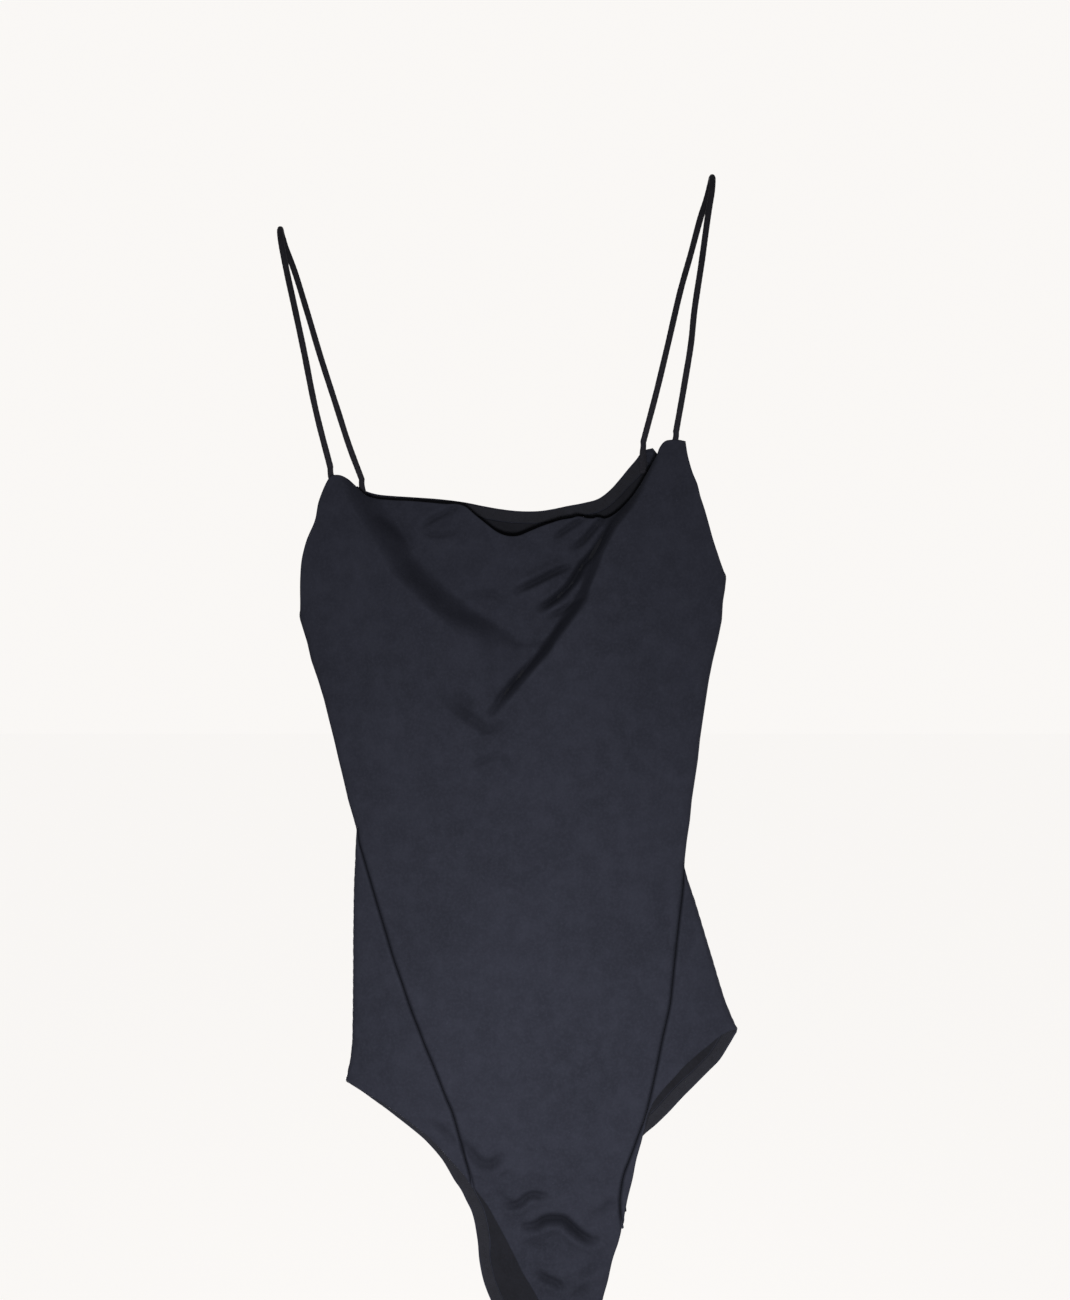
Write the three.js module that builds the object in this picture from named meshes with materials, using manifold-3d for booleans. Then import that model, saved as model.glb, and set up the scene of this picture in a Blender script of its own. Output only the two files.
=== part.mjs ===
// Gymnastics leotard, camisole cut, as it hangs by its two straps.
// Millimetres, +Z up, +X to the wearer's left as the front faces -Y.
// The origin is midway between the two strap crests, where a hanger's top edge carries them.
import * as THREE from "three";
import { mergeVertices } from "three/addons/utils/BufferGeometryUtils.js";
import Module from "manifold-3d";

// ---- driving dimensions ----
const OUTER = 0.9; // outer jersey layer
const INNER = 0.7; // lining layer, and the elastics and seam allowances that share its depth
const GAP = 0.35; // clearance between layers and between pieces of one layer
const ELASTIC_W = 6; // width of the elastic turned into an edge
const ELASTIC_INSET = 0.8; // from the edge of the panel to the elastic
const SEAM_ALLOWANCE_W = 5; // width of a sewn-in seam allowance
const SEAM_IN = 1.4; // side seam's distance in from the side fold, above the waist
const WALL = 0.95; // back panel where it turns round the side fold
const STRAP_R = 1.9; // radius of the round cord strap
const STRAP_LIFT = 5.2; // from a top corner's edge to the end of the free strap
const STRAP_IN = 2.2; // from the outer cloth's face to the middle of a strap's end
const NECK_RISE = 2.4; // how far the sewn end stands up out of the edge
const NECK_W = 2.6;
const ANCHOR_W = 4; // flattened strap end sewn inside the corner
const ANCHOR_L = 12;
const ANCHOR_T = 1.4;
const SEAM_RIGHT_END = -536; // the right seam allowance runs out where the seam reaches the hem
const GUSSET_TOP = -612; // height of the gusset lining's upper seam
const CROTCH_Z = -700.6; // lowest point of the crotch
const STEP_X = 21; // grid of the cloth surfaces
const STEP_Z = 25;

// ---- outlines, [x, z] ----
// The fold lines are where the front and back layers close together at the sides; below the
// hips they carry on to the crotch as guides for the depth only.
const FOLD_LEFT = [
  [-98.6, -161.9], [-101.5, -167.2], [-105.7, -177.9], [-107.7, -188.6], [-112.8, -200.4],
  [-115.7, -212.2], [-116.6, -224.1], [-116.7, -235.9], [-116.8, -246], [-114.8, -252.5],
  [-112.2, -260.8], [-109.8, -271.4], [-105.7, -283.3], [-102.1, -295.1], [-99.2, -307],
  [-96.2, -318.8], [-93.5, -330.6], [-90.6, -342.5], [-87.9, -354.3], [-84.4, -366.2], [-82.9, -372.1],
  [-83.5, -381], [-83.8, -389.8], [-84.4, -401.7], [-84.7, -413.5], [-85, -437.2], [-85, -449],
  [-85.2, -472.7], [-85.5, -496.4], [-86.7, -508.2], [-89.7, -520.7], [-84, -545], [-70, -580],
  [-47, -622], [-12, -664], [22, -701],
];
const FOLD_RIGHT = [
  [112.2, -141.8], [113.4, -149.5], [114.6, -154.2], [116.3, -160.1], [119.3, -167.2], [121.1, -174.3],
  [123.4, -181.4], [125.8, -189.7], [128.8, -200.4], [132.3, -211], [136.2, -221.7], [135.3, -230],
  [134.1, -237.1], [133.5, -247.8], [131.1, -259.6], [128.2, -271.4], [125.8, -283.3], [124, -295.1],
  [122.2, -307], [120.5, -318.8], [119.3, -330.6], [117.5, -342.5], [115.7, -354.3], [114.6, -366.2],
  [112.8, -378], [111.6, -388.6], [111.3, -394], [113.4, -401.7], [117.5, -413.5], [121.1, -425.4],
  [124.6, -437.2], [128.2, -449], [131.7, -460.9], [135.3, -472.7], [139.7, -483.4], [143.3, -490.5],
  [139, -520], [128, -556], [112, -600], [94, -642], [78, -675], [67, -701],
];
const SILHOUETTE_LEFT = [
  [-98.6, -161.9], [-101.5, -167.2], [-105.7, -177.9], [-107.7, -188.6], [-112.8, -200.4],
  [-115.7, -212.2], [-116.6, -224.1], [-116.7, -235.9], [-116.8, -246], [-114.8, -252.5],
  [-112.2, -260.8], [-109.8, -271.4], [-105.7, -283.3], [-102.1, -295.1], [-99.2, -307],
  [-96.2, -318.8], [-93.5, -330.6], [-90.6, -342.5], [-87.9, -354.3], [-84.4, -366.2], [-82.9, -372.1],
  [-83.5, -381], [-83.8, -389.8], [-84.4, -401.7], [-84.7, -413.5], [-85, -437.2], [-85, -449],
  [-85.2, -472.7], [-85.5, -496.4], [-86.7, -508.2], [-89.7, -520.7], [-73.1, -531.9], [-57.1, -543.8],
  [-42.3, -555.6], [-32.3, -567.4], [-25.2, -579.3], [-18.1, -591.1], [-13.3, -603], [-11.2, -614.8],
  [-10.4, -626.6], [-8, -638.5], [-3.6, -650.3], [3.8, -665.1], [13.9, -679.9], [24, -691.8],
  [30.5, -700.6],
];
const SILHOUETTE_RIGHT = [
  [112.2, -141.8], [113.4, -149.5], [114.6, -154.2], [116.3, -160.1], [119.3, -167.2], [121.1, -174.3],
  [123.4, -181.4], [125.8, -189.7], [128.8, -200.4], [132.3, -211], [136.2, -221.7], [135.3, -230],
  [134.1, -237.1], [133.5, -247.8], [131.1, -259.6], [128.2, -271.4], [125.8, -283.3], [124, -295.1],
  [122.2, -307], [120.5, -318.8], [119.3, -330.6], [117.5, -342.5], [115.7, -354.3], [114.6, -366.2],
  [112.8, -378], [111.6, -388.6], [111.3, -394], [113.4, -401.7], [117.5, -413.5], [121.1, -425.4],
  [124.6, -437.2], [128.2, -449], [131.7, -460.9], [135.3, -472.7], [139.7, -483.4], [143.3, -490.5],
  [132.3, -508.2], [118.7, -521.8], [102.1, -539], [86.7, -554.4], [83.2, -567.4], [80.8, -579.3],
  [77.8, -591.1], [75.5, -603], [72.8, -614.8], [69, -626.6], [66.3, -638.5], [63, -650.3],
  [61.3, -665.1], [61.3, -679.9], [62.5, -691.8], [63.6, -700.6],
];
const FRONT_NECK = [
  [-97.3, -163], [-94.4, -162.7], [-90.8, -163], [-86.7, -164.8], [-82, -168.9], [-76.1, -174.2],
  [-65.1, -176.4], [-50.7, -177.3], [-36, -178.6], [-24.2, -179.5], [-18.9, -180.4], [-12.4, -185.7],
  [-5.9, -191], [0.5, -195.8], [6.4, -198.1], [12.8, -198.1], [19.3, -195.5], [25.7, -192.8],
  [32.2, -190.5], [38.6, -188.4], [46.2, -187.4], [53.7, -187.6], [60.7, -187.7], [65.9, -186.9],
  [70, -184.5], [74.7, -180.4], [79.4, -175.1], [83.5, -169.2], [87, -163.3], [90.6, -156.8],
  [94.1, -150.3], [97.1, -145], [99.5, -142.9], [103, -142.3], [107.1, -142.2], [111.3, -143],
];
const BACK_NECK = [
  [-83.8, -167.3], [-79, -170], [-72.5, -172], [-61.8, -173.1], [-51.6, -173.7], [-35.5, -174.8],
  [-19.9, -176.6], [-7.9, -179], [2.4, -180.8], [13.8, -182], [25.2, -182], [33.6, -180.8], [42, -179],
  [51.6, -177.2], [60.6, -174.8], [67.8, -169.5], [73.8, -162.9], [78.6, -157], [83.3, -151.6],
  [87.5, -146.3], [91.7, -144.2],
];
const ARM_FRONT_LEFT = [
  [-97.3, -163], [-100.3, -168.2], [-104.5, -178.7], [-106.7, -189.2], [-111.8, -200.9],
  [-114.9, -212.5], [-116, -224.3], [-116.3, -236], [-116.5, -246],
];
const ARM_FRONT_RIGHT = [
  [111.3, -143], [112.5, -150.6], [113.7, -155.3], [115.5, -161.1], [118.5, -168.1], [120.3, -175],
  [122.7, -182], [125.2, -190.2], [128.3, -200.7], [132, -211.2], [135.9, -221.8],
];
const ARM_BACK_LEFT = [
  [-83.8, -167.3], [-90.9, -175.8], [-97.9, -186.6], [-104.4, -199.8], [-109.5, -213.1],
  [-113.4, -226.9], [-116.1, -237.6], [-117.1, -245.9],
];
const ARM_BACK_RIGHT = [
  [91.7, -144.2], [98.2, -151.8], [104.7, -162], [111.8, -174.1], [119.4, -188], [125.7, -200.1],
  [131.5, -211.5], [136.4, -221.6],
];
const SEAM_LEFT = [
  [-82, -370.6], [-81.1, -378.9], [-78.7, -387], [-74.4, -401], [-70.2, -414.9], [-65.3, -430.6],
  [-60.5, -446.2], [-55.1, -461.2], [-49.8, -476.2], [-45.6, -486.5], [-41.5, -496.9], [-37.3, -506.6],
  [-33.2, -516.4], [-29.1, -526.8], [-25.6, -535.1], [-22.2, -547], [-18.1, -562.4], [-15.2, -573.1],
  [-13.5, -581.5],
];
const SEAM_RIGHT = [
  [111.1, -393.7], [110.1, -407.1], [108.1, -422.1], [106.5, -434.7], [104.9, -448], [103.4, -461.2],
  [101.8, -473.9], [99.7, -483], [97.6, -491.6], [95.5, -502.1], [93.5, -512.1], [91.5, -521.5],
  [89.5, -530.4], [86.6, -541.1], [83.7, -549.3], [80.7, -557.6], [77.8, -565.3], [74.9, -573],
  [73.2, -581.9], [72.6, -590.9], [73.5, -601.1], [74.7, -607.2],
];
const HEM_FRONT_LEFT = [
  [-89.5, -520.1], [-81.5, -524.3], [-74.3, -527.9], [-67.1, -531.6], [-58.7, -537], [-49.8, -543.1],
  [-41.6, -549.4], [-35.1, -555.1], [-29.9, -561], [-24.6, -566.8], [-19.9, -572], [-14.6, -578.5],
  [-10, -584.4], [-5.3, -590.9], [-1.2, -598.1], [2.9, -605.8], [7, -613.6], [11.1, -621.9],
  [15.2, -630.9], [19.9, -638.7], [24.6, -647.1], [29.3, -657.9], [32.8, -670], [33.4, -683.7],
  [32.8, -699.1],
];
const HEM_FRONT_RIGHT = [
  [143, -490], [138.4, -490.3], [133.5, -492.3], [129.3, -494.9], [125, -498.2], [119.6, -502.1],
  [114.9, -505.9], [109.5, -510.7], [104.5, -516.1], [99.5, -521.2], [94.2, -527.6], [90.6, -532.8],
  [88.3, -538.1], [86.9, -544.7], [86, -551.2], [82.5, -564.3], [80.2, -576.2], [77.3, -588],
  [75, -599.9], [72.4, -611.9], [68.6, -623.8], [66, -635.7], [62.8, -647.6], [61, -662.6],
  [61.1, -678], [62.3, -690.3], [63.5, -699.5],
];
const HEM_BACK_LEFT = [
  [-89.9, -521.2], [-81.8, -527], [-73.7, -533.5], [-65.5, -539.9], [-57.8, -546.2], [-50.1, -552.4],
  [-43, -558.6], [-37.6, -564.6], [-32.9, -570.7], [-29.3, -576.6], [-25.7, -582.6], [-21.5, -588.5],
  [-18.5, -594.5], [-15.5, -600.4], [-13.7, -606.2], [-11.6, -617.9], [-10.6, -629.5], [-8.2, -641],
  [-3.7, -652.6], [3.8, -667.1], [13.9, -681.6], [22.8, -693.2], [31.7, -702.1],
];
const HEM_BACK_RIGHT = [
  [143.5, -490.9], [138, -500.7], [132.8, -509.3], [126.4, -516.2], [119.4, -523.6], [111.1, -532.3],
  [102.8, -541.5], [95.1, -549.5], [87.4, -556.8], [81.4, -565.8], [76, -575.4], [71.2, -584.9],
  [67, -595.6], [63.4, -607.4], [61, -620.9], [59.8, -635.5], [59.8, -653], [60.9, -673.2],
  [62.6, -693.1], [63.7, -701.7],
];
const COWL = [
  [-90.9, -129.4], [-86.7, -172], [-73.1, -192.1], [-60.1, -212.8], [-41.7, -235.9], [-23.4, -268.5],
  [-6.8, -312.9], [2.7, -297.5], [13.9, -283.3], [28.7, -266.1], [43.5, -235.9], [58.3, -206.9],
  [69.6, -185], [80.2, -173.8], [95, -149.5], [95, -105.7],
];

// ---- depth of the two layers ----
// Heights are levelled, because the garment hangs with its right top corner higher.
const TILT = 0.0949;
const TILT_X = 9.7;
const LEVELS = [-705, -670, -620, -560, -505, -450, -390, -330, -280, -234, -200, -170, -140];
const FRONT_DEPTH = [2.2, 6.5, 10.5, 15.5, 20, 19, 16, 20, 24, 24, 17, 10, 6];
const BACK_DEPTH = [2.2, 6.5, 10.5, 15.5, 19, 17, 13, 15, 18, 18, 13, 8, 5];
const EDGE_LEVELS = [-705, -234, -222, -205, -185, -165, -140];
const EDGE_DEPTH = [2.6, 2.6, 4, 6.8, 9.6, 12, 13.2];
const ROUNDNESS = 2.6; // exponent of the cross-section
const COWL_DEPTH = 11; // how far the draped neckline falls back between the busts
const COWL_WIDTH = 30; // over which it falls

// Smooth curve through a table, with no overshoot.
function table(t, xs, ys) {
  const n = xs.length;
  if (t <= xs[0]) return ys[0];
  if (t >= xs[n - 1]) return ys[n - 1];
  const slope = (i) => {
    if (i === 0 || i === n - 1) return 0;
    const a = (ys[i] - ys[i - 1]) / (xs[i] - xs[i - 1]);
    const b = (ys[i + 1] - ys[i]) / (xs[i + 1] - xs[i]);
    return a * b <= 0 ? 0 : (2 * a * b) / (a + b);
  };
  let i = 0;
  while (t > xs[i + 1]) i++;
  const h = xs[i + 1] - xs[i];
  const u = (t - xs[i]) / h;
  return (
    (2 * u ** 3 - 3 * u * u + 1) * ys[i] +
    (u ** 3 - 2 * u * u + u) * h * slope(i) +
    (3 * u * u - 2 * u ** 3) * ys[i + 1] +
    (u ** 3 - u * u) * h * slope(i + 1)
  );
}

// x of a line that runs from top to bottom, at height z.
function lineX(line, z) {
  if (z >= line[0][1]) return line[0][0];
  for (let i = 0; i + 1 < line.length; i++) {
    const [ax, az] = line[i];
    const [bx, bz] = line[i + 1];
    if (z >= bz) return ax + ((bx - ax) * (z - az)) / (bz - az);
  }
  return line[line.length - 1][0];
}

function distanceInside(x, z, poly) {
  let inside = false;
  let best = Infinity;
  for (let i = 0; i < poly.length; i++) {
    const [ax, az] = poly[i];
    const [bx, bz] = poly[(i + 1) % poly.length];
    if (az > z !== bz > z && x < ((bx - ax) * (z - az)) / (bz - az) + ax) inside = !inside;
    const t = THREE.MathUtils.clamp(
      ((x - ax) * (bx - ax) + (z - az) * (bz - az)) / ((bx - ax) ** 2 + (bz - az) ** 2),
      0,
      1,
    );
    best = Math.min(best, Math.hypot(x - ax - t * (bx - ax), z - az - t * (bz - az)));
  }
  return inside ? best : -best;
}

const level = (x, z) => z - TILT * (x - TILT_X);

function section(x, z) {
  const l = lineX(FOLD_LEFT, z);
  const r = lineX(FOLD_RIGHT, z);
  const s = Math.abs((x - (l + r) / 2) / ((r - l) / 2));
  return s >= 1 ? 0 : 1 - s ** ROUNDNESS;
}

function frontY(x, z) {
  const t = level(x, z);
  const fall = THREE.MathUtils.smoothstep(distanceInside(x, z, COWL), 0, COWL_WIDTH);
  return (
    -table(t, EDGE_LEVELS, EDGE_DEPTH) -
    table(t, LEVELS, FRONT_DEPTH) * section(x, z) +
    COWL_DEPTH * fall
  );
}

function backY(x, z) {
  const t = level(x, z);
  return table(t, EDGE_LEVELS, EDGE_DEPTH) + table(t, LEVELS, BACK_DEPTH) * section(x, z);
}

// ---- solids ----
const wasm = await Module();
wasm.setup();

function solid(geometry) {
  const g = geometry.index ? geometry.toNonIndexed() : geometry.clone();
  for (const name of Object.keys(g.attributes)) if (name !== "position") g.deleteAttribute(name);
  const m = mergeVertices(g, 1e-4);
  return new wasm.Manifold(
    new wasm.Mesh({
      numProp: 3,
      vertProperties: new Float32Array(m.attributes.position.array),
      triVerts: new Uint32Array(m.index.array),
    }),
  );
}

const GRID_X0 = -150;
const GRID_Z0 = -722;

// A layer of cloth between two depths, over the part of the common grid that covers a region.
function layer(near, far, poly) {
  const xs = poly.map((p) => p[0]);
  const zs = poly.map((p) => p[1]);
  const i0 = Math.floor((Math.min(...xs) - 1 - GRID_X0) / STEP_X);
  const i1 = Math.ceil((Math.max(...xs) + 1 - GRID_X0) / STEP_X);
  const k0 = Math.floor((Math.min(...zs) - 1 - GRID_Z0) / STEP_Z);
  const k1 = Math.ceil((Math.max(...zs) + 1 - GRID_Z0) / STEP_Z);
  const nx = i1 - i0 + 1;
  const nz = k1 - k0 + 1;
  const pos = [];
  for (const y of [near, far])
    for (let k = 0; k < nz; k++)
      for (let i = 0; i < nx; i++) {
        const x = GRID_X0 + (i0 + i) * STEP_X;
        const z = GRID_Z0 + (k0 + k) * STEP_Z;
        pos.push(x, y(x, z), z);
      }
  const id = (side, i, k) => side * nx * nz + k * nx + i;
  const tri = [];
  const quad = (a, b, c, d) => tri.push(a, b, c, a, c, d);
  for (let k = 0; k + 1 < nz; k++)
    for (let i = 0; i + 1 < nx; i++) {
      quad(id(0, i, k), id(0, i + 1, k), id(0, i + 1, k + 1), id(0, i, k + 1));
      tri.push(id(1, i, k), id(1, i + 1, k + 1), id(1, i + 1, k));
      tri.push(id(1, i, k), id(1, i, k + 1), id(1, i + 1, k + 1));
    }
  for (let i = 0; i + 1 < nx; i++) {
    quad(id(0, i + 1, 0), id(0, i, 0), id(1, i, 0), id(1, i + 1, 0));
    quad(id(0, i, nz - 1), id(0, i + 1, nz - 1), id(1, i + 1, nz - 1), id(1, i, nz - 1));
  }
  for (let k = 0; k + 1 < nz; k++) {
    quad(id(0, 0, k), id(0, 0, k + 1), id(1, 0, k + 1), id(1, 0, k));
    quad(id(0, nx - 1, k + 1), id(0, nx - 1, k), id(1, nx - 1, k), id(1, nx - 1, k + 1));
  }
  const g = new THREE.BufferGeometry()
    .setAttribute("position", new THREE.Float32BufferAttribute(pos, 3))
    .setIndex(tri);
  return solid(g);
}

// An outline in X and Z, run right through the garment along Y.
function prism(poly) {
  const shape = new THREE.Shape(poly.map(([x, z]) => new THREE.Vector2(x, z)));
  const g = new THREE.ExtrudeGeometry(shape, { depth: 120, bevelEnabled: false, steps: 1 });
  g.rotateX(Math.PI / 2).translate(0, 60, 0);
  return solid(g);
}

// A line moved sideways: to its right for a positive distance, seen from the front.
function moved(line, by) {
  return line.map((p, i) => {
    const a = line[Math.max(0, i - 1)];
    const b = line[Math.min(line.length - 1, i + 1)];
    const dx = b[0] - a[0];
    const dz = b[1] - a[1];
    const n = Math.hypot(dx, dz);
    return [p[0] + (dz / n) * by, p[1] - (dx / n) * by];
  });
}

// The line carried on past both of its ends.
function longer(line, by) {
  const end = (p, q) => {
    const n = Math.hypot(p[0] - q[0], p[1] - q[1]);
    return [p[0] + ((p[0] - q[0]) / n) * by, p[1] + ((p[1] - q[1]) / n) * by];
  };
  return [end(line[0], line[1]), ...line, end(line[line.length - 1], line[line.length - 2])];
}

const band = (line, from, to) => [...moved(line, from), ...moved(line, to).reverse()];

const cut = (s, ...others) => others.reduce((a, o) => a.subtract(o), s);

// ---- lines built from the outlines ----
const between = (line, top, bottom) => line.filter(([, z]) => z <= top && z >= bottom);
const ARMPIT_LEFT = ARM_FRONT_LEFT[ARM_FRONT_LEFT.length - 1];
const ARMPIT_RIGHT = ARM_FRONT_RIGHT[ARM_FRONT_RIGHT.length - 1];
const HIP_LEFT = HEM_FRONT_LEFT[0];
const HIP_RIGHT = HEM_FRONT_RIGHT[0];
const SIDE_LEFT = [ARMPIT_LEFT, ...between(SILHOUETTE_LEFT, -247, -519), HIP_LEFT];
const SIDE_RIGHT = [ARMPIT_RIGHT, ...between(SILHOUETTE_RIGHT, -223, -488), HIP_RIGHT];

// Side seams: just in front of the side fold down to the waist, then across the hip to the leg.
const upperLeft = moved(between(SILHOUETTE_LEFT, -252, -368), -SEAM_IN);
const upperRight = moved(between(SILHOUETTE_RIGHT, -229, -389), SEAM_IN);
const SEAM_LINE_LEFT = [
  [ARMPIT_LEFT[0] - 3, ARMPIT_LEFT[1] - 0.3],
  [ARMPIT_LEFT[0] + SEAM_IN, ARMPIT_LEFT[1] - 0.3],
  ...upperLeft,
  ...SEAM_LEFT.slice(1),
];
const SEAM_LINE_RIGHT = [
  [ARMPIT_RIGHT[0] + 3, ARMPIT_RIGHT[1] - 0.3],
  [ARMPIT_RIGHT[0] - SEAM_IN, ARMPIT_RIGHT[1] - 0.3],
  ...upperRight,
  ...SEAM_RIGHT.slice(1, -1),
];
// where each seam meets the front hem of its leg
const hemAfter = (hem, z) => hem.filter((p) => p[1] < z);
const seamEndLeft = SEAM_LINE_LEFT[SEAM_LINE_LEFT.length - 1];
const seamEndRight = SEAM_LINE_RIGHT[SEAM_LINE_RIGHT.length - 1];

const FRONT_OUTLINE = [
  ...FRONT_NECK,
  ...ARM_FRONT_RIGHT.slice(1),
  ...SEAM_LINE_RIGHT.slice(1),
  ...hemAfter(HEM_FRONT_RIGHT, seamEndRight[1] - 3).slice(0, -1),
  [HEM_FRONT_RIGHT[HEM_FRONT_RIGHT.length - 1][0], CROTCH_Z],
  [HEM_FRONT_LEFT[HEM_FRONT_LEFT.length - 1][0], CROTCH_Z],
  ...hemAfter(HEM_FRONT_LEFT, seamEndLeft[1] - 3).slice(0, -1).reverse(),
  ...SEAM_LINE_LEFT.slice(1).reverse(),
  ...ARM_FRONT_LEFT.slice(1).reverse(),
];
const WRAP_LEFT = [
  ...SEAM_LINE_LEFT.slice(1),
  ...HEM_FRONT_LEFT.filter((p) => p[1] > seamEndLeft[1] + 1 && p[1] < HIP_LEFT[1]).reverse(),
  ...[...SIDE_LEFT.slice(1)].reverse(),
  [ARMPIT_LEFT[0], ARMPIT_LEFT[1] - 0.3],
];
const WRAP_RIGHT = [
  ...SEAM_LINE_RIGHT.slice(1),
  ...HEM_FRONT_RIGHT.filter((p) => p[1] > seamEndRight[1] + 1 && p[1] < HIP_RIGHT[1]).reverse(),
  ...[...SIDE_RIGHT.slice(1)].reverse(),
  [ARMPIT_RIGHT[0], ARMPIT_RIGHT[1] - 0.3],
];
const BACK_OUTLINE = [
  ...BACK_NECK,
  ...ARM_BACK_RIGHT.slice(1, -1),
  ...SIDE_RIGHT,
  ...HEM_BACK_RIGHT.slice(1, -1),
  [HEM_BACK_RIGHT[HEM_BACK_RIGHT.length - 1][0], CROTCH_Z + OUTER + GAP],
  [HEM_BACK_LEFT[HEM_BACK_LEFT.length - 1][0] + 1, CROTCH_Z + OUTER + GAP],
  ...HEM_BACK_LEFT.slice(1, -1).reverse(),
  ...[...SIDE_LEFT].reverse(),
  ...ARM_BACK_LEFT.slice(1, -1).reverse(),
];

// ---- layers ----
const F = (d) => (x, z) => frontY(x, z) + d;
const B = (d) => (x, z) => backY(x, z) - d;
const IN0 = OUTER + GAP;
const IN1 = IN0 + INNER;

const seamGapLeft = prism(band(SEAM_LINE_LEFT, -GAP / 2, GAP / 2));
const seamGapRight = prism(band(SEAM_LINE_RIGHT, -GAP / 2, GAP / 2));

const floorStrip = [
  [FRONT_OUTLINE[0][0] - 60, CROTCH_Z - 3],
  [200, CROTCH_Z - 3],
  [200, CROTCH_Z + OUTER],
  [FRONT_OUTLINE[0][0] - 60, CROTCH_Z + OUTER],
];
const frontPrism = prism(FRONT_OUTLINE);
const backPrism = prism(BACK_OUTLINE);
const crotchFloor = layer(F(0.1), B(0.1), FRONT_OUTLINE.filter((p) => p[1] < -660))
  .intersect(frontPrism)
  .intersect(prism(floorStrip));
const front = cut(
  layer(F(0), F(OUTER), FRONT_OUTLINE).intersect(frontPrism),
  seamGapLeft,
  seamGapRight,
).add(crotchFloor);

const wall = (side, sign) =>
  layer(F(0.1), B(0.1), side).intersect(prism(band(side.slice(), sign * 0.04, sign * WALL)));
const wallLeft = wall([[ARMPIT_LEFT[0], ARMPIT_LEFT[1] - 0.6], ...SIDE_LEFT.slice(1)], -1);
const wallRight = wall([[ARMPIT_RIGHT[0], ARMPIT_RIGHT[1] - 0.6], ...SIDE_RIGHT.slice(1)], 1);
const wrapLeft = cut(layer(F(0), F(OUTER), WRAP_LEFT).intersect(prism(WRAP_LEFT)), seamGapLeft);
const wrapRight = cut(layer(F(0), F(OUTER), WRAP_RIGHT).intersect(prism(WRAP_RIGHT)), seamGapRight);
const back = layer(B(OUTER), B(0), BACK_OUTLINE)
  .intersect(backPrism)
  .add(wallLeft)
  .add(wallRight)
  .add(wrapLeft)
  .add(wrapRight);

// The inner layer: elastics along the edges, then seam allowances, then the linings between.
const FRONT_ALL = [
  ...FRONT_NECK,
  ...ARM_FRONT_RIGHT.slice(1, -1),
  ...SIDE_RIGHT,
  ...HEM_FRONT_RIGHT.slice(1, -1),
  [HEM_FRONT_RIGHT[HEM_FRONT_RIGHT.length - 1][0], CROTCH_Z],
  [HEM_FRONT_LEFT[HEM_FRONT_LEFT.length - 1][0], CROTCH_Z],
  ...HEM_FRONT_LEFT.slice(1, -1).reverse(),
  ...[...SIDE_LEFT].reverse(),
  ...ARM_FRONT_LEFT.slice(1, -1).reverse(),
];
const floorClear = prism([
  [-100, CROTCH_Z - 3],
  [200, CROTCH_Z - 3],
  [200, CROTCH_Z + OUTER + GAP],
  [-100, CROTCH_Z + OUTER + GAP],
]);
const wallClear = prism(band(longer(SIDE_LEFT, 8), 3, -(WALL + GAP))).add(
  prism(band(longer(SIDE_RIGHT, 8), -3, WALL + GAP)),
);
const frontInner = cut(
  layer(F(IN0), F(IN1), FRONT_ALL).intersect(prism(FRONT_ALL)),
  wallClear,
  floorClear,
);
const backInner = cut(
  layer(B(IN1), B(IN0), BACK_OUTLINE).intersect(backPrism),
  wallClear,
  floorClear,
);
const core = (poly) => cut(layer(F(IN0), B(IN0), poly).intersect(prism(poly)), wallClear, floorClear);

// Every line below runs so that the cloth is on the side that sign names.
const strip = (line, sign, w = ELASTIC_W) =>
  prism(band(line, sign * ELASTIC_INSET, sign * (ELASTIC_INSET + w)));
const taken = (line, sign, w = ELASTIC_W) =>
  prism(band(longer(line, 7), sign * -3, sign * (ELASTIC_INSET + w + GAP)));

const neckFront = frontInner.intersect(prism(band(FRONT_NECK, ELASTIC_INSET, ELASTIC_INSET + ELASTIC_W)));
const neckBack = backInner.intersect(prism(band(BACK_NECK, ELASTIC_INSET, ELASTIC_INSET + ELASTIC_W)));
const neckFrontTaken = prism(band(longer(FRONT_NECK, 4), -3, ELASTIC_INSET + ELASTIC_W + GAP));
const neckBackTaken = prism(band(longer(BACK_NECK, 4), -3, ELASTIC_INSET + ELASTIC_W + GAP));

// A square around a corner, in which the two halves of an elastic are joined.
const around = ([x, z], r) => [
  [x - r, z - r],
  [x + r, z - r],
  [x + r, z + r],
  [x - r, z + r],
];

function ring(frontLine, backLine, sign, corners) {
  const a = strip(frontLine, sign);
  const b = strip(backLine, sign);
  let s = frontInner.intersect(a).add(backInner.intersect(b));
  for (const [corner, r] of corners) s = s.add(core(around(corner, r)).intersect(a).intersect(b));
  return s;
}
const armholeLeft = cut(
  ring(ARM_FRONT_LEFT, ARM_BACK_LEFT, -1, [[ARMPIT_LEFT, 8]]),
  neckFrontTaken,
  neckBackTaken,
);
const armholeRight = cut(
  ring(ARM_FRONT_RIGHT, ARM_BACK_RIGHT, 1, [[ARMPIT_RIGHT, 8]]),
  neckFrontTaken,
  neckBackTaken,
);
const legLeft = ring(HEM_FRONT_LEFT, HEM_BACK_LEFT, -1, [
  [HIP_LEFT, 9],
  [[HEM_FRONT_LEFT[HEM_FRONT_LEFT.length - 1][0], CROTCH_Z], 5],
]);
const legRight = ring(HEM_FRONT_RIGHT, HEM_BACK_RIGHT, 1, [
  [HIP_RIGHT, 9],
  [[HEM_FRONT_RIGHT[HEM_FRONT_RIGHT.length - 1][0], CROTCH_Z], 5],
]);

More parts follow.
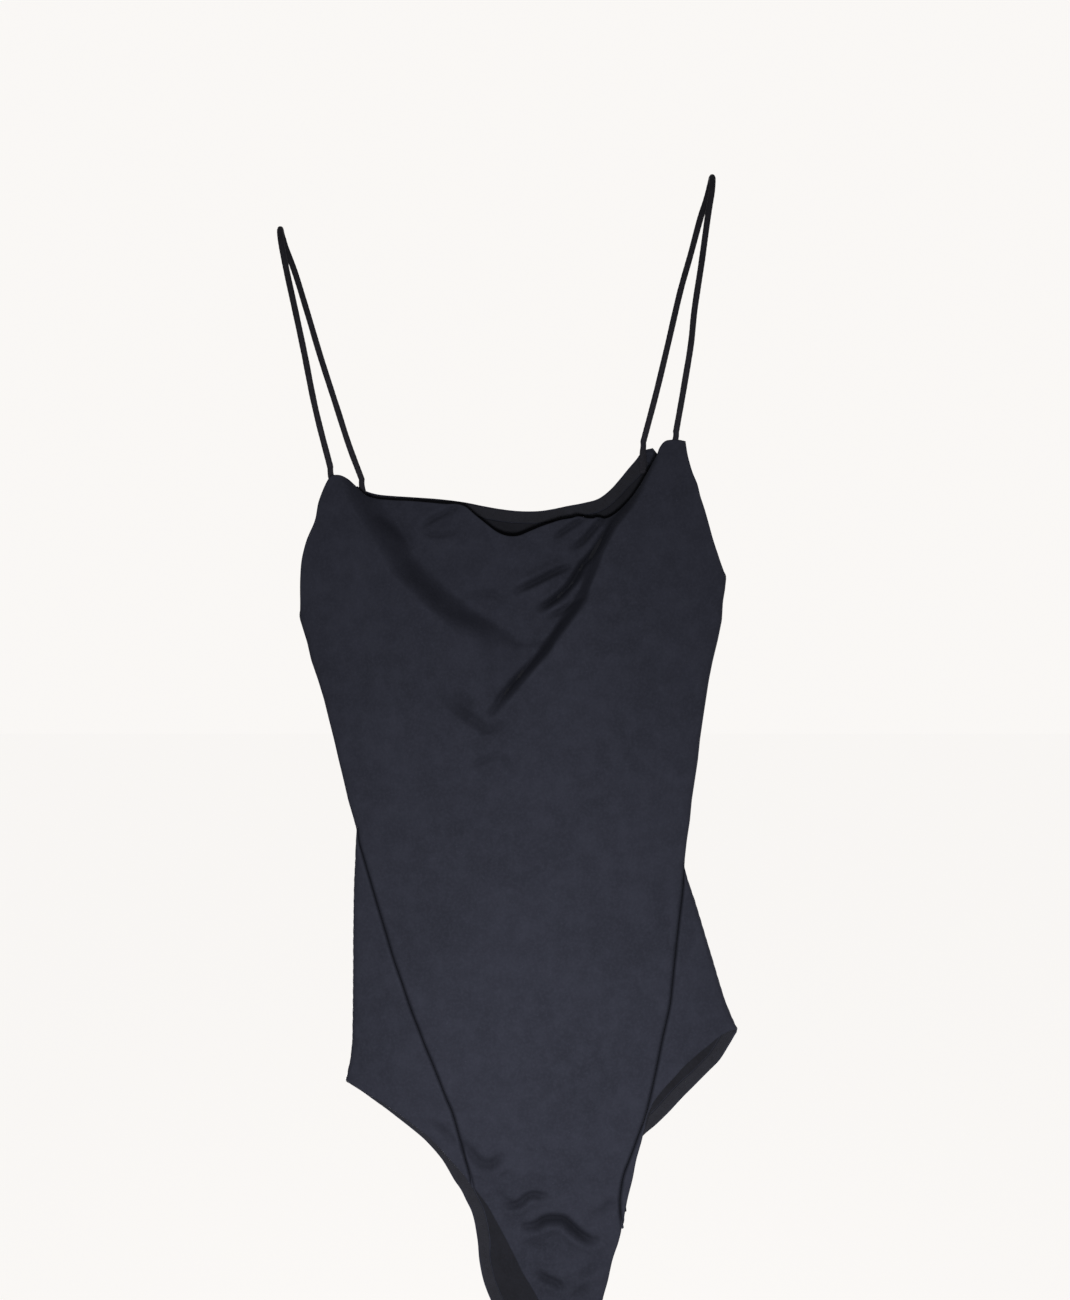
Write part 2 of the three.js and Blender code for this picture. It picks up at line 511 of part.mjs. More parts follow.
// Seam allowances lie against the front layer, on its side of each seam.
const slice = (z0, z1) => [
  [-160, z0],
  [200, z0],
  [200, z1],
  [-160, z1],
];
const seamLeft = cut(
  frontInner.intersect(prism(band(SEAM_LINE_LEFT.slice(1), 0, -SEAM_ALLOWANCE_W))),
  taken(ARM_FRONT_LEFT, -1),
  taken(HEM_FRONT_LEFT, -1),
);
const seamRight = cut(
  frontInner.intersect(prism(band(SEAM_LINE_RIGHT.slice(1), 0, SEAM_ALLOWANCE_W))),
  taken(ARM_FRONT_RIGHT, 1),
  taken(HEM_FRONT_RIGHT, 1),
  prism(slice(-640, SEAM_RIGHT_END)),
);

const liningFront = cut(
  frontInner.intersect(frontPrism),
  neckFrontTaken,
  taken(ARM_FRONT_LEFT, -1),
  taken(ARM_FRONT_RIGHT, 1),
  taken(HEM_FRONT_LEFT, -1),
  taken(HEM_FRONT_RIGHT, 1),
  prism(band(SEAM_LINE_LEFT.slice(1), 3, -(SEAM_ALLOWANCE_W + GAP))),
  prism(band(SEAM_LINE_RIGHT.slice(1), -3, SEAM_ALLOWANCE_W + GAP)),
);
const frontLining = cut(liningFront, prism(slice(CROTCH_Z - 5, GUSSET_TOP + GAP / 2)));
const gussetLining = cut(liningFront, prism(slice(GUSSET_TOP - GAP / 2, 20)));

const BACK_FLOOR = CROTCH_Z + OUTER + GAP;
const liningBack = cut(
  backInner,
  neckBackTaken,
  taken(ARM_BACK_LEFT, -1),
  taken(ARM_BACK_RIGHT, 1),
  taken(HEM_BACK_LEFT, -1),
  taken(HEM_BACK_RIGHT, 1),
);
const backLining = cut(liningBack, prism(slice(CROTCH_Z - 5, BACK_FLOOR + SEAM_ALLOWANCE_W + GAP)));
const crotchSeam = cut(liningBack, prism(slice(BACK_FLOOR + SEAM_ALLOWANCE_W, 20)));

// ---- straps ----
// Each is one length of round cord: up from the front corner, over the hanger and down to the
// back corner. Both legs lie against the hanger's faces before they spread to the corners.
const strapEnds = {
  left: { front: [-97.4, -163.2], back: [-80.8, -168.7] },
  right: { front: [105.6, -142.6], back: [87.6, -146.2] },
};
const endOf = ([x, z], y, sign) => new THREE.Vector3(x, y(x, z) + sign * STRAP_IN, z + STRAP_LIFT);
const ENDS = {
  leftFront: endOf(strapEnds.left.front, frontY, 1),
  leftBack: endOf(strapEnds.left.back, backY, -1),
  rightFront: endOf(strapEnds.right.front, frontY, 1),
  rightBack: endOf(strapEnds.right.back, backY, -1),
};
const STRAP_LEFT_PATH = [
  ENDS.leftFront,
  [-106, -10.8, -124.5],
  [-113, -9.2, -90],
  [-118.6, -8.2, -64],
  [-123.4, -8, -42],
  [-126.4, -7.4, -26.5],
  [-127.6, -4.3, -19],
  [-127.9, 0, -16.4],
  [-127.6, 4.3, -19],
  [-125.6, 7.4, -26],
  [-120.4, 8, -40],
  [-113, 8.6, -64],
  [-105.3, 9.3, -90],
  [-95.4, 10.3, -121],
  [-88.2, 11, -143.5],
  ENDS.leftBack,
];
const STRAP_RIGHT_PATH = [
  ENDS.rightFront,
  [110.8, -10.4, -108],
  [114.6, -9, -85],
  [116.6, -8.3, -66],
  [120.8, -8, -38],
  [124.9, -8, -8],
  [126.9, -7.4, 4.5],
  [127.6, -4.3, 11.7],
  [127.6, 0, 14.3],
  [127.1, 4.3, 11.7],
  [125.4, 7.4, 4.5],
  [121.6, 8, -7.5],
  [115.5, 8.4, -30],
  [109.6, 8.8, -51],
  [101.8, 9.8, -84.5],
  [95.2, 10.8, -112],
  ENDS.rightBack,
];
function cord(path) {
  const curve = new THREE.CatmullRomCurve3(
    path.map((p) => (Array.isArray(p) ? new THREE.Vector3(...p) : p)),
    false,
    "centripetal",
  );
  const section = new THREE.Shape(
    Array.from({ length: 8 }, (_, i) => {
      const a = (i / 8) * 2 * Math.PI;
      return new THREE.Vector2(STRAP_R * Math.cos(a), STRAP_R * Math.sin(a));
    }),
  );
  return new THREE.ExtrudeGeometry(section, { steps: 44, extrudePath: curve, bevelEnabled: false });
}

// The strap's end goes on inside the corner, flattened and stitched down, and its neck comes up out of the edge.
function anchor(x, top, front, [endX, endZ]) {
  const poly = [
    [x - ANCHOR_W / 2, top - ANCHOR_L],
    [x + ANCHOR_W / 2, top - ANCHOR_L],
    [x + ANCHOR_W / 2, top],
    [endX + NECK_W / 2, endZ + NECK_RISE],
    [endX - NECK_W / 2, endZ + NECK_RISE],
    [x - ANCHOR_W / 2, top],
  ];
  const y = front
    ? [F(IN1 + GAP), F(IN1 + GAP + ANCHOR_T)]
    : [B(IN1 + GAP + ANCHOR_T), B(IN1 + GAP)];
  return layer(...y, poly).intersect(prism(poly));
}

// ---- the garment ----
const JERSEY = { color: 0x2b2c36, roughness: 0.93, metalness: 0 };
const LINING = { color: 0x24252e, roughness: 0.95, metalness: 0 };
const ELASTIC = { color: 0x1f2028, roughness: 0.85, metalness: 0 };
const CORD = { color: 0x1a1b22, roughness: 0.8, metalness: 0 };
const THREAD = { color: 0x1d1e26, roughness: 0.9, metalness: 0 };

function geometryOf(s) {
  const m = s.getMesh();
  const pos = new Float32Array(m.numVert * 3);
  for (let i = 0; i < m.numVert; i++)
    pos.set(m.vertProperties.subarray(i * m.numProp, i * m.numProp + 3), i * 3);
  const g = new THREE.BufferGeometry()
    .setAttribute("position", new THREE.BufferAttribute(pos, 3))
    .setIndex(new THREE.BufferAttribute(new Uint32Array(m.triVerts), 1));
  g.computeVertexNormals();
  return g;
}
const leotard = new THREE.Group();
leotard.name = "leotard";
function piece(name, shape, material, parent) {
  const geometry = shape.isBufferGeometry ? shape : geometryOf(shape);
  const mesh = new THREE.Mesh(geometry, new THREE.MeshStandardMaterial(material));
  mesh.name = name;
  parent.add(mesh);
}
const bodice = new THREE.Group();
leotard.add(bodice);
piece("front_panel", front, JERSEY, bodice);
piece("back_panel", back, JERSEY, bodice);
piece("front_lining", frontLining, LINING, bodice);
piece("back_lining", backLining, LINING, bodice);
piece("gusset_lining", gussetLining, LINING, bodice);
piece("neck_elastic_front", neckFront, ELASTIC, bodice);
piece("neck_elastic_back", neckBack, ELASTIC, bodice);
piece("armhole_elastic_left", armholeLeft, ELASTIC, bodice);
piece("armhole_elastic_right", armholeRight, ELASTIC, bodice);
piece("leg_elastic_left", legLeft, ELASTIC, bodice);
piece("leg_elastic_right", legRight, ELASTIC, bodice);
piece("side_seam_left", seamLeft, THREAD, bodice);
piece("side_seam_right", seamRight, THREAD, bodice);
piece("crotch_seam", crotchSeam, THREAD, bodice);
piece("strap_anchor_front_left", anchor(strapEnds.left.front[0] + 2.5, -166.6, true, strapEnds.left.front), CORD, bodice);
piece("strap_anchor_back_left", anchor(strapEnds.left.back[0] + 0.5, -170.6, false, strapEnds.left.back), CORD, bodice);
piece("strap_anchor_front_right", anchor(strapEnds.right.front[0] - 0.5, -144.6, true, strapEnds.right.front), CORD, bodice);
piece("strap_anchor_back_right", anchor(strapEnds.right.back[0], -148.4, false, strapEnds.right.back), CORD, bodice);
const straps = new THREE.Group();
leotard.add(straps);
piece("strap_left", cord(STRAP_LEFT_PATH), CORD, straps);
piece("strap_right", cord(STRAP_RIGHT_PATH), CORD, straps);

export default leotard;
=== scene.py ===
import math

import bpy
import numpy as np
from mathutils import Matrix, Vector
from mathutils.geometry import delaunay_2d_cdt
from mathutils.kdtree import KDTree


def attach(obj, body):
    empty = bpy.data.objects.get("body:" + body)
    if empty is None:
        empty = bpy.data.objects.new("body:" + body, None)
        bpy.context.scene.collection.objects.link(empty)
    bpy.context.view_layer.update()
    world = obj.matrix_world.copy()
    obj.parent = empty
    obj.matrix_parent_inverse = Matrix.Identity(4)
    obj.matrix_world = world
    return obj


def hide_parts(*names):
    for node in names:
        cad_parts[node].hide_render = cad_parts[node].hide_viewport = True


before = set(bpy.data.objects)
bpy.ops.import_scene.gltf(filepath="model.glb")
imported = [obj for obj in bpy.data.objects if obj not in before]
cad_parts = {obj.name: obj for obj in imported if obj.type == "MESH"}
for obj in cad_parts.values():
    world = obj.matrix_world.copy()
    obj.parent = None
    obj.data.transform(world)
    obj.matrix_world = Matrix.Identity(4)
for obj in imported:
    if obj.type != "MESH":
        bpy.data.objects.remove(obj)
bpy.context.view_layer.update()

MM = 0.001

# ---- the garment's outlines, the same as the frame's: (x, z) in mm ----
FOLD_LEFT = [
    (-98.6, -161.9), (-101.5, -167.2), (-105.7, -177.9), (-107.7, -188.6), (-112.8, -200.4),
    (-115.7, -212.2), (-116.6, -224.1), (-116.7, -235.9), (-116.8, -246), (-114.8, -252.5),
    (-112.2, -260.8), (-109.8, -271.4), (-105.7, -283.3), (-102.1, -295.1), (-99.2, -307),
    (-96.2, -318.8), (-93.5, -330.6), (-90.6, -342.5), (-87.9, -354.3), (-84.4, -366.2),
    (-82.9, -372.1), (-83.5, -381), (-83.8, -389.8), (-84.4, -401.7), (-84.7, -413.5),
    (-85, -437.2), (-85, -449), (-85.2, -472.7), (-85.5, -496.4), (-86.7, -508.2), (-89.7, -520.7),
    (-84, -545), (-70, -580), (-47, -622), (-12, -664), (22, -701),
]
FOLD_RIGHT = [
    (112.2, -141.8), (113.4, -149.5), (114.6, -154.2), (116.3, -160.1), (119.3, -167.2),
    (121.1, -174.3), (123.4, -181.4), (125.8, -189.7), (128.8, -200.4), (132.3, -211),
    (136.2, -221.7), (135.3, -230), (134.1, -237.1), (133.5, -247.8), (131.1, -259.6),
    (128.2, -271.4), (125.8, -283.3), (124, -295.1), (122.2, -307), (120.5, -318.8),
    (119.3, -330.6), (117.5, -342.5), (115.7, -354.3), (114.6, -366.2), (112.8, -378),
    (111.6, -388.6), (111.3, -394), (113.4, -401.7), (117.5, -413.5), (121.1, -425.4),
    (124.6, -437.2), (128.2, -449), (131.7, -460.9), (135.3, -472.7), (139.7, -483.4),
    (143.3, -490.5), (139, -520), (128, -556), (112, -600), (94, -642), (78, -675), (67, -701),
]
FRONT_NECK = [
    (-97.3, -163), (-94.4, -162.7), (-90.8, -163), (-86.7, -164.8), (-82, -168.9), (-76.1, -174.2),
    (-65.1, -176.4), (-50.7, -177.3), (-36, -178.6), (-24.2, -179.5), (-18.9, -180.4),
    (-12.4, -185.7), (-5.9, -191), (0.5, -195.8), (6.4, -198.1), (12.8, -198.1), (19.3, -195.5),
    (25.7, -192.8), (32.2, -190.5), (38.6, -188.4), (46.2, -187.4), (53.7, -187.6), (60.7, -187.7),
    (65.9, -186.9), (70, -184.5), (74.7, -180.4), (79.4, -175.1), (83.5, -169.2), (87, -163.3),
    (90.6, -156.8), (94.1, -150.3), (97.1, -145), (99.5, -142.9), (103, -142.3), (107.1, -142.2),
    (111.3, -143),
]
BACK_NECK = [
    (-83.8, -167.3), (-79, -170), (-72.5, -172), (-61.8, -173.1), (-51.6, -173.7), (-35.5, -174.8),
    (-19.9, -176.6), (-7.9, -179), (2.4, -180.8), (13.8, -182), (25.2, -182), (33.6, -180.8),
    (42, -179), (51.6, -177.2), (60.6, -174.8), (67.8, -169.5), (73.8, -162.9), (78.6, -157),
    (83.3, -151.6), (87.5, -146.3), (93.4, -144.6),
]
ARM_FRONT_LEFT = [
    (-97.3, -163), (-100.3, -168.2), (-104.5, -178.7), (-106.7, -189.2), (-111.8, -200.9),
    (-114.9, -212.5), (-116, -224.3), (-116.3, -236), (-116.5, -246),
]
ARM_FRONT_RIGHT = [
    (111.3, -143), (112.5, -150.6), (113.7, -155.3), (115.5, -161.1), (118.5, -168.1),
    (120.3, -175), (122.7, -182), (125.2, -190.2), (128.3, -200.7), (132, -211.2), (135.9, -221.8),
]
ARM_BACK_LEFT = [
    (-83.8, -167.3), (-90.9, -175.8), (-97.9, -186.6), (-104.4, -199.8), (-109.5, -213.1),
    (-113.4, -226.9), (-116.1, -237.6), (-117.1, -245.9),
]
ARM_BACK_RIGHT = [
    (93.4, -144.6), (99.2, -152.2), (104.7, -162), (111.8, -174.1), (119.4, -188), (125.7, -200.1),
    (131.5, -211.5), (136.4, -221.6),
]
SEAM_LEFT = [
    (-82, -370.6), (-81.1, -378.9), (-78.7, -387), (-74.4, -401), (-70.2, -414.9), (-65.3, -430.6),
    (-60.5, -446.2), (-55.1, -461.2), (-49.8, -476.2), (-45.6, -486.5), (-41.5, -496.9),
    (-37.3, -506.6), (-33.2, -516.4), (-29.1, -526.8), (-25.6, -535.1), (-22.2, -547),
    (-18.1, -562.4), (-15.2, -573.1), (-13.5, -581.5),
]
SEAM_RIGHT = [
    (111.1, -393.7), (110.1, -407.1), (108.1, -422.1), (106.5, -434.7), (104.9, -448),
    (103.4, -461.2), (101.8, -473.9), (99.7, -483), (97.6, -491.6), (95.5, -502.1), (93.5, -512.1),
    (91.5, -521.5), (89.5, -530.4), (86.6, -541.1), (83.7, -549.3), (80.7, -557.6), (77.8, -565.3),
    (74.9, -573), (73.2, -581.9), (72.6, -590.9), (73.5, -601.1), (74.7, -607.2),
]
HEM_FRONT_LEFT = [
    (-89.5, -520.1), (-81.5, -524.3), (-74.3, -527.9), (-67.1, -531.6), (-58.7, -537),
    (-49.8, -543.1), (-41.6, -549.4), (-35.1, -555.1), (-29.9, -561), (-24.6, -566.8),
    (-19.9, -572), (-14.6, -578.5), (-10, -584.4), (-5.3, -590.9), (-1.2, -598.1), (2.9, -605.8),
    (7, -613.6), (11.1, -621.9), (15.2, -630.9), (19.9, -638.7), (24.6, -647.1), (29.3, -657.9),
    (32.8, -670), (33.4, -683.7), (32.8, -699.1),
]
HEM_FRONT_RIGHT = [
    (143, -490), (138.4, -490.3), (133.5, -492.3), (129.3, -494.9), (125, -498.2), (119.6, -502.1),
    (114.9, -505.9), (109.5, -510.7), (104.5, -516.1), (99.5, -521.2), (94.2, -527.6),
    (90.6, -532.8), (88.3, -538.1), (86.9, -544.7), (86, -551.2), (82.5, -564.3), (80.2, -576.2),
    (77.3, -588), (75, -599.9), (72.4, -611.9), (68.6, -623.8), (66, -635.7), (62.8, -647.6),
    (61, -662.6), (61.1, -678), (62.3, -690.3), (63.5, -699.5),
]
HEM_BACK_LEFT = [
    (-89.9, -521.2), (-81.8, -527), (-73.7, -533.5), (-65.5, -539.9), (-57.8, -546.2),
    (-50.1, -552.4), (-43, -558.6), (-37.6, -564.6), (-32.9, -570.7), (-29.3, -576.6),
    (-25.7, -582.6), (-21.5, -588.5), (-18.5, -594.5), (-15.5, -600.4), (-13.7, -606.2),
    (-11.6, -617.9), (-10.6, -629.5), (-8.2, -641), (-3.7, -652.6), (3.8, -667.1), (13.9, -681.6),
    (22.8, -693.2), (31.7, -702.1),
]
HEM_BACK_RIGHT = [
    (143.5, -490.9), (138, -500.7), (132.8, -509.3), (126.4, -516.2), (119.4, -523.6),
    (111.1, -532.3), (102.8, -541.5), (95.1, -549.5), (87.4, -556.8), (81.4, -565.8), (76, -575.4),
    (71.2, -584.9), (67, -595.6), (63.4, -607.4), (61, -620.9), (59.8, -635.5), (59.8, -653),
    (60.9, -673.2), (62.6, -693.1), (63.7, -701.7),
]
COWL_LEFT = [
    (-91.4, -160.1), (-86.6, -177.8), (-72.9, -199), (-61.6, -220.1), (-41.7, -240),
    (-23.7, -255.1), (-16.1, -272.5), (-12.6, -294.5), (-6.3, -313.2),
]
COWL_RIGHT = [
    (93, -136.8), (93, -152.1), (87, -163.3), (78.2, -180.4), (68.8, -192.2), (62.3, -208.5),
    (53, -231.8), (41.4, -249.3), (28.6, -267.3), (19.3, -280), (7.1, -295.7), (-6.3, -313.2),
]
CREASES_FRONT = [
    ([(95.3, -146.8), (91.8, -154.4), (84.7, -167.4), (77.6, -179.8), (68.8, -191), (59.4, -205.6), (50.1, -216.7), (39.6, -231.3), (32.1, -238.2), (23.4, -243.4)], 7.75, 1.98, 0.62, 1),
    ([(54.7, -228.4), (50.7, -236.5), (43.1, -245.8), (35, -256.2), (28.6, -266.1), (21.1, -273.6), (14.1, -280.6), (7.1, -288.7), (3.1, -293.4), (-1, -299.8), (-5.1, -305.6)], 5.58, 1.98, 0.62, 1),
    ([(72.4, -178.1), (64.1, -186.3), (56, -195.6), (50.2, -202), (42, -206)], 3.88, 1.71, 1.25, -1),
    ([(53.7, -186.7), (46.8, -190.7), (39.8, -195.3), (33.3, -199.9)], 3.1, 1.62, 1, -1),
    ([(45.5, -214.9), (35, -219.5), (25.7, -224.1), (17.5, -228.1), (9.3, -232.2)], 4.5, 1.89, 1.5, -1),
    ([(54.7, -215.6), (46.6, -224.9), (37.3, -233), (28.6, -238.8), (22.2, -241.6)], 3.72, 1.71, 1.12, -1),
    ([(53.6, -234.2), (44.3, -239.4), (37.3, -242.9), (29.2, -246.9)], 2.94, 1.71, 1, -1),
    ([(28.6, -259.7), (19.9, -261.4), (9.4, -260.8)], 1.4, 2.34, 0.62, -1),
    ([(-20.7, -179.8), (-27.7, -183.3), (-35.3, -186.8), (-41.8, -191), (-45.2, -194.6)], 2.02, 1.62, 1, -1),
    ([(-44.7, -194), (-40, -196.9), (-32.3, -197.5), (-22.4, -195.7)], 1.55, 1.71, 0.62, 1),
    ([(-76, -184.9), (-65.4, -189.6), (-56.1, -197.2), (-49, -206.6)], 1.4, 3.06, 0.5, 1),
    ([(-23.8, -238.1), (-19.2, -234.6), (-12.9, -232.8), (-4.1, -232.2), (2.3, -234.5), (7.6, -238.6)], 1.4, 2.34, 0.62, 1),
    ([(-32.4, -291.1), (-26.6, -296.9), (-18.4, -302.7), (-11.5, -307.3), (-5.7, -311.4), (2.5, -309.7), (9.4, -307.3)], 2.63, 3.24, 1.12, -1),
    ([(-25.4, -288.7), (-19.6, -294.5), (-12.6, -298)], 1.4, 4.5, 0, 1),
    ([(-19.1, -336), (-13.9, -332.4), (-8, -330.1), (-2.2, -327.2), (2.4, -326.6), (5.9, -330.1), (9.4, -334.8), (15.2, -340.6)], 1.4, 2.16, 0.62, -1),
    ([(-11.6, -387.5), (-7, -386.9), (-2.3, -388.1)], 0.62, 1.8, 0.25, 1),
    ([(-57, -287.7), (-54.7, -284.7), (-49.4, -285.3)], 0.78, 1.8, 0.25, 1),
    ([(-4.6, -511.7), (0.7, -515.8), (7.1, -519.3)], 0.78, 2.34, 0.31, 1),
    ([(61.2, -504.2), (62.4, -510.1), (64.2, -517.2)], 0.62, 2.34, 0.25, 1),
    ([(-38.6, -541.4), (-32.7, -544.8), (-28, -550.1), (-24, -555.4)], 2.02, 2.34, 0.62, -1),
    ([(-21, -551.7), (-15.2, -558.8), (-9.3, -565.3), (-3.5, -566.4), (2.4, -562.2), (5.3, -559.2)], 3.1, 2.88, 1.25, -1),
    ([(2.3, -573.5), (7, -571.7), (11.7, -571.1)], 1.24, 1.98, 0.5, -1),
    ([(1.2, -581.3), (4.1, -586), (9.3, -589)], 1.24, 1.98, 0.62, 1),
    ([(3.5, -591.4), (8.2, -590.8), (13.4, -589.6), (17.5, -586), (21, -584.2), (25.7, -584.8), (31.6, -586)], 3.72, 1.98, 1.88, -1),
    ([(13.4, -603.3), (19.3, -603.3), (24, -602.1), (28.6, -599.1), (33.3, -598.6), (39.2, -599.2), (43.9, -603.4), (49.2, -608.3), (55.6, -612), (62.1, -611.5)], 6.04, 2.34, 2.75, -1),
    ([(56.2, -597), (60.9, -594.7), (65.6, -591.8), (70.3, -587.8)], 1.4, 2.7, 0.62, 1),
    ([(14, -612.9), (22.2, -614.7), (30.4, -615.3)], 0.93, 2.52, 0.38, 1),
    ([(23.4, -630.3), (29.2, -634.5), (35.1, -636.9), (39.8, -641.7)], 3.1, 2.16, 1.38, -1),
    ([(58.6, -624.6), (55.1, -629.3), (49.2, -632.8)], 1.4, 2.7, 0.62, 1),
    ([(55.1, -637.1), (49.2, -643), (43.3, -646.5)], 1.55, 2.34, 0.75, 1),
    ([(28.7, -651.9), (35.1, -657.9), (41, -665.2)], 1.71, 2.52, 0.75, 1),
    ([(58.7, -659.5), (51.6, -665.4), (45.7, -673.8)], 1.55, 2.52, 0.75, -1),
]

# depth of the body against the levelled height: fold radius, and the bow of the front and the back
TILT, TX = 0.0949, 9.7
H_AT = [-705, -670, -620, -560, -505, -450, -390, -330, -280, -234, -200, -170, -140]
H_FRONT = [2.2, 6.5, 10.5, 15.5, 20, 19, 16, 20, 24, 24, 17, 10, 6]
H_BACK = [2.2, 6.5, 10.5, 15.5, 19, 17, 13, 15, 18, 18, 13, 8, 5]
E_AT = [-705, -234, -222, -205, -185, -165, -140]
E_IS = [2.6, 2.6, 4.0, 6.8, 9.6, 12, 13.2]
CROTCH_Z = -700.6
CROTCH_R = 5.0  # radius of the fold at the crotch
BEND_Z = CROTCH_Z + CROTCH_R
SEAM_TURN = 0.6  # the crotch seam lies this far up the back, in radians of that fold

CLOTH_T = 0.9  # outer jersey
EDGE_R = 0.95  # turned edge
LINING_OUT, LINING_T = 1.55, 0.6
ELASTIC_OUT, ELASTIC_T, ELASTIC_W, ELASTIC_INSET = 1.45, 0.75, 6.0, 0.9
STRAP_R = 1.9

STRAP_LEFT = [
    (-97.4, -10.899, -158.0), (-106, -10.8, -124.5), (-113, -9.2, -90), (-118.6, -8.2, -64),
    (-123.4, -8, -42), (-126.4, -7.4, -26.5), (-127.6, -4.3, -19), (-127.9, 0, -16.4),
    (-127.6, 4.3, -19), (-125.6, 7.4, -26), (-120.4, 8, -40), (-113, 8.6, -64), (-105.3, 9.3, -90),
    (-95.4, 10.3, -121), (-88.2, 11, -143.5), (-80.8, 12.981, -163.5),
]
STRAP_RIGHT = [
    (105.6, -11.738, -137.4), (110.8, -10.4, -108), (114.6, -9, -85), (116.6, -8.3, -66),
    (120.8, -8, -38), (124.9, -8, -8), (126.9, -7.4, 4.5), (127.6, -4.3, 11.7), (127.6, 0, 14.3),
    (127.1, 4.3, 11.7), (125.4, 7.4, 4.5), (121.6, 8, -7.5), (115.5, 8.4, -30), (109.6, 8.8, -51),
    (101.8, 9.8, -84.5), (95.2, 10.8, -112), (87.6, 13.536, -141.0),
]
# (node, corner of the sewn part, end of the free strap)
ANCHORS = [
    ("strap_anchor_front_left", "front", (-94.9, -166.6), STRAP_LEFT[0]),
    ("strap_anchor_back_left", "back", (-80.3, -170.6), STRAP_LEFT[-1]),
    ("strap_anchor_front_right", "front", (105.1, -144.6), STRAP_RIGHT[0]),
    ("strap_anchor_back_right", "back", (87.6, -148.4), STRAP_RIGHT[-1]),
]
# soft wrinkles of the back: line, depth, width, ridge, side
CREASES_BACK = [
    ([(-60, -250), (-44, -262), (-24, -270), (-8, -272)], 0.8, 4.0, 0.5, 1),
    ([(104, -238), (84, -252), (62, -260), (44, -262)], 0.9, 4.0, 0.5, -1),
    ([(-70, -352), (-44, -362), (-12, -366), (20, -362)], 0.9, 5.0, 0.5, 1),
    ([(92, -376), (66, -388), (34, -392), (10, -388)], 0.8, 5.0, 0.5, -1),
    ([(-30, -395), (0, -402), (34, -404)], 0.6, 4.0, 0.3, 1),
    ([(-46, -548), (-26, -566), (-6, -578), (8, -584)], 1.2, 3.4, 0.8, -1),
    ([(94, -534), (76, -556), (60, -574), (52, -584)], 1.1, 3.4, 0.7, 1),
    ([(4, -604), (20, -612), (38, -610), (52, -602)], 1.6, 3.0, 1.0, -1),
    ([(8, -636), (24, -642), (40, -638), (54, -634)], 1.3, 3.0, 0.9, -1),
    ([(22, -664), (36, -670), (52, -664)], 1.0, 3.0, 0.6, 1),
    ([(-10, -608), (-4, -622), (4, -640), (10, -656)], 0.9, 3.4, 0.5, 1),
]


# ---- small numerical tools ----
def cubic(xs, ys):
    """A monotone cubic through a table, as a function of an array."""
    xs, ys = np.array(xs, float), np.array(ys, float)
    m = np.zeros(len(xs))
    for i in range(1, len(xs) - 1):
        a = (ys[i] - ys[i - 1]) / (xs[i] - xs[i - 1])
        b = (ys[i + 1] - ys[i]) / (xs[i + 1] - xs[i])
        m[i] = 0 if a * b <= 0 else 2 * a * b / (a + b)

    def value(t):
        t = np.clip(t, xs[0], xs[-1])
        i = np.clip(np.searchsorted(xs, t, side="right") - 1, 0, len(xs) - 2)
        h = xs[i + 1] - xs[i]
        u = (t - xs[i]) / h
        return (
            (2 * u**3 - 3 * u * u + 1) * ys[i]
            + (u**3 - 2 * u * u + u) * h * m[i]
            + (-2 * u**3 + 3 * u * u) * ys[i + 1]
            + (u**3 - u * u) * h * m[i + 1]
        )

    return value


def ease(u):
    u = np.clip(u, 0, 1)
    return u * u * (3 - 2 * u)


def along(line):
    """x of a line given from the top down, at height z."""
    a = np.array(line, float)[::-1]
    return lambda z: np.interp(z, a[:, 1], a[:, 0])


LATTICE = {}


def noise(x, z, size, seed):
    """Smooth value noise from -1 to 1 with cells of that size."""
    if seed not in LATTICE:
        LATTICE[seed] = np.random.default_rng(seed).uniform(-1, 1, (97, 97))
    lattice = LATTICE[seed]
    u, v = x / size + 40.37, z / size + 71.61
    i, j = np.floor(u).astype(int), np.floor(v).astype(int)
    a, b = u - i, v - j
    a, b = a**3 * (a * (a * 6 - 15) + 10), b**3 * (b * (b * 6 - 15) + 10)
    g = lambda p, q: lattice[(i + p) % 97, (j + q) % 97]
    return (g(0, 0) * (1 - a) + g(1, 0) * a) * (1 - b) + (g(0, 1) * (1 - a) + g(1, 1) * a) * b


def to_line(x, z, line):
    """Distance to an open line, its sign (positive to the left of the line's run) and the place along it from 0 to 1."""
    p = np.array(line, float)
    seg = p[1:] - p[:-1]
    size = np.hypot(seg[:, 0], seg[:, 1])
    start = np.concatenate([[0], np.cumsum(size)])
    best = np.full(x.shape, 1e9)
    sign, place = np.ones(x.shape), np.zeros(x.shape)
    for k in range(len(seg)):
        dx, dz = x - p[k, 0], z - p[k, 1]
        t = np.clip((dx * seg[k, 0] + dz * seg[k, 1]) / size[k] ** 2, 0, 1)
        ex, ez = dx - t * seg[k, 0], dz - t * seg[k, 1]
        d = np.hypot(ex, ez)
        near = d < best
        best = np.where(near, d, best)
        sign = np.where(near, np.sign(seg[k, 0] * dz - seg[k, 1] * dx + 1e-12), sign)
        place = np.where(near, (start[k] + t * size[k]) / start[-1], place)
    return best, sign, place


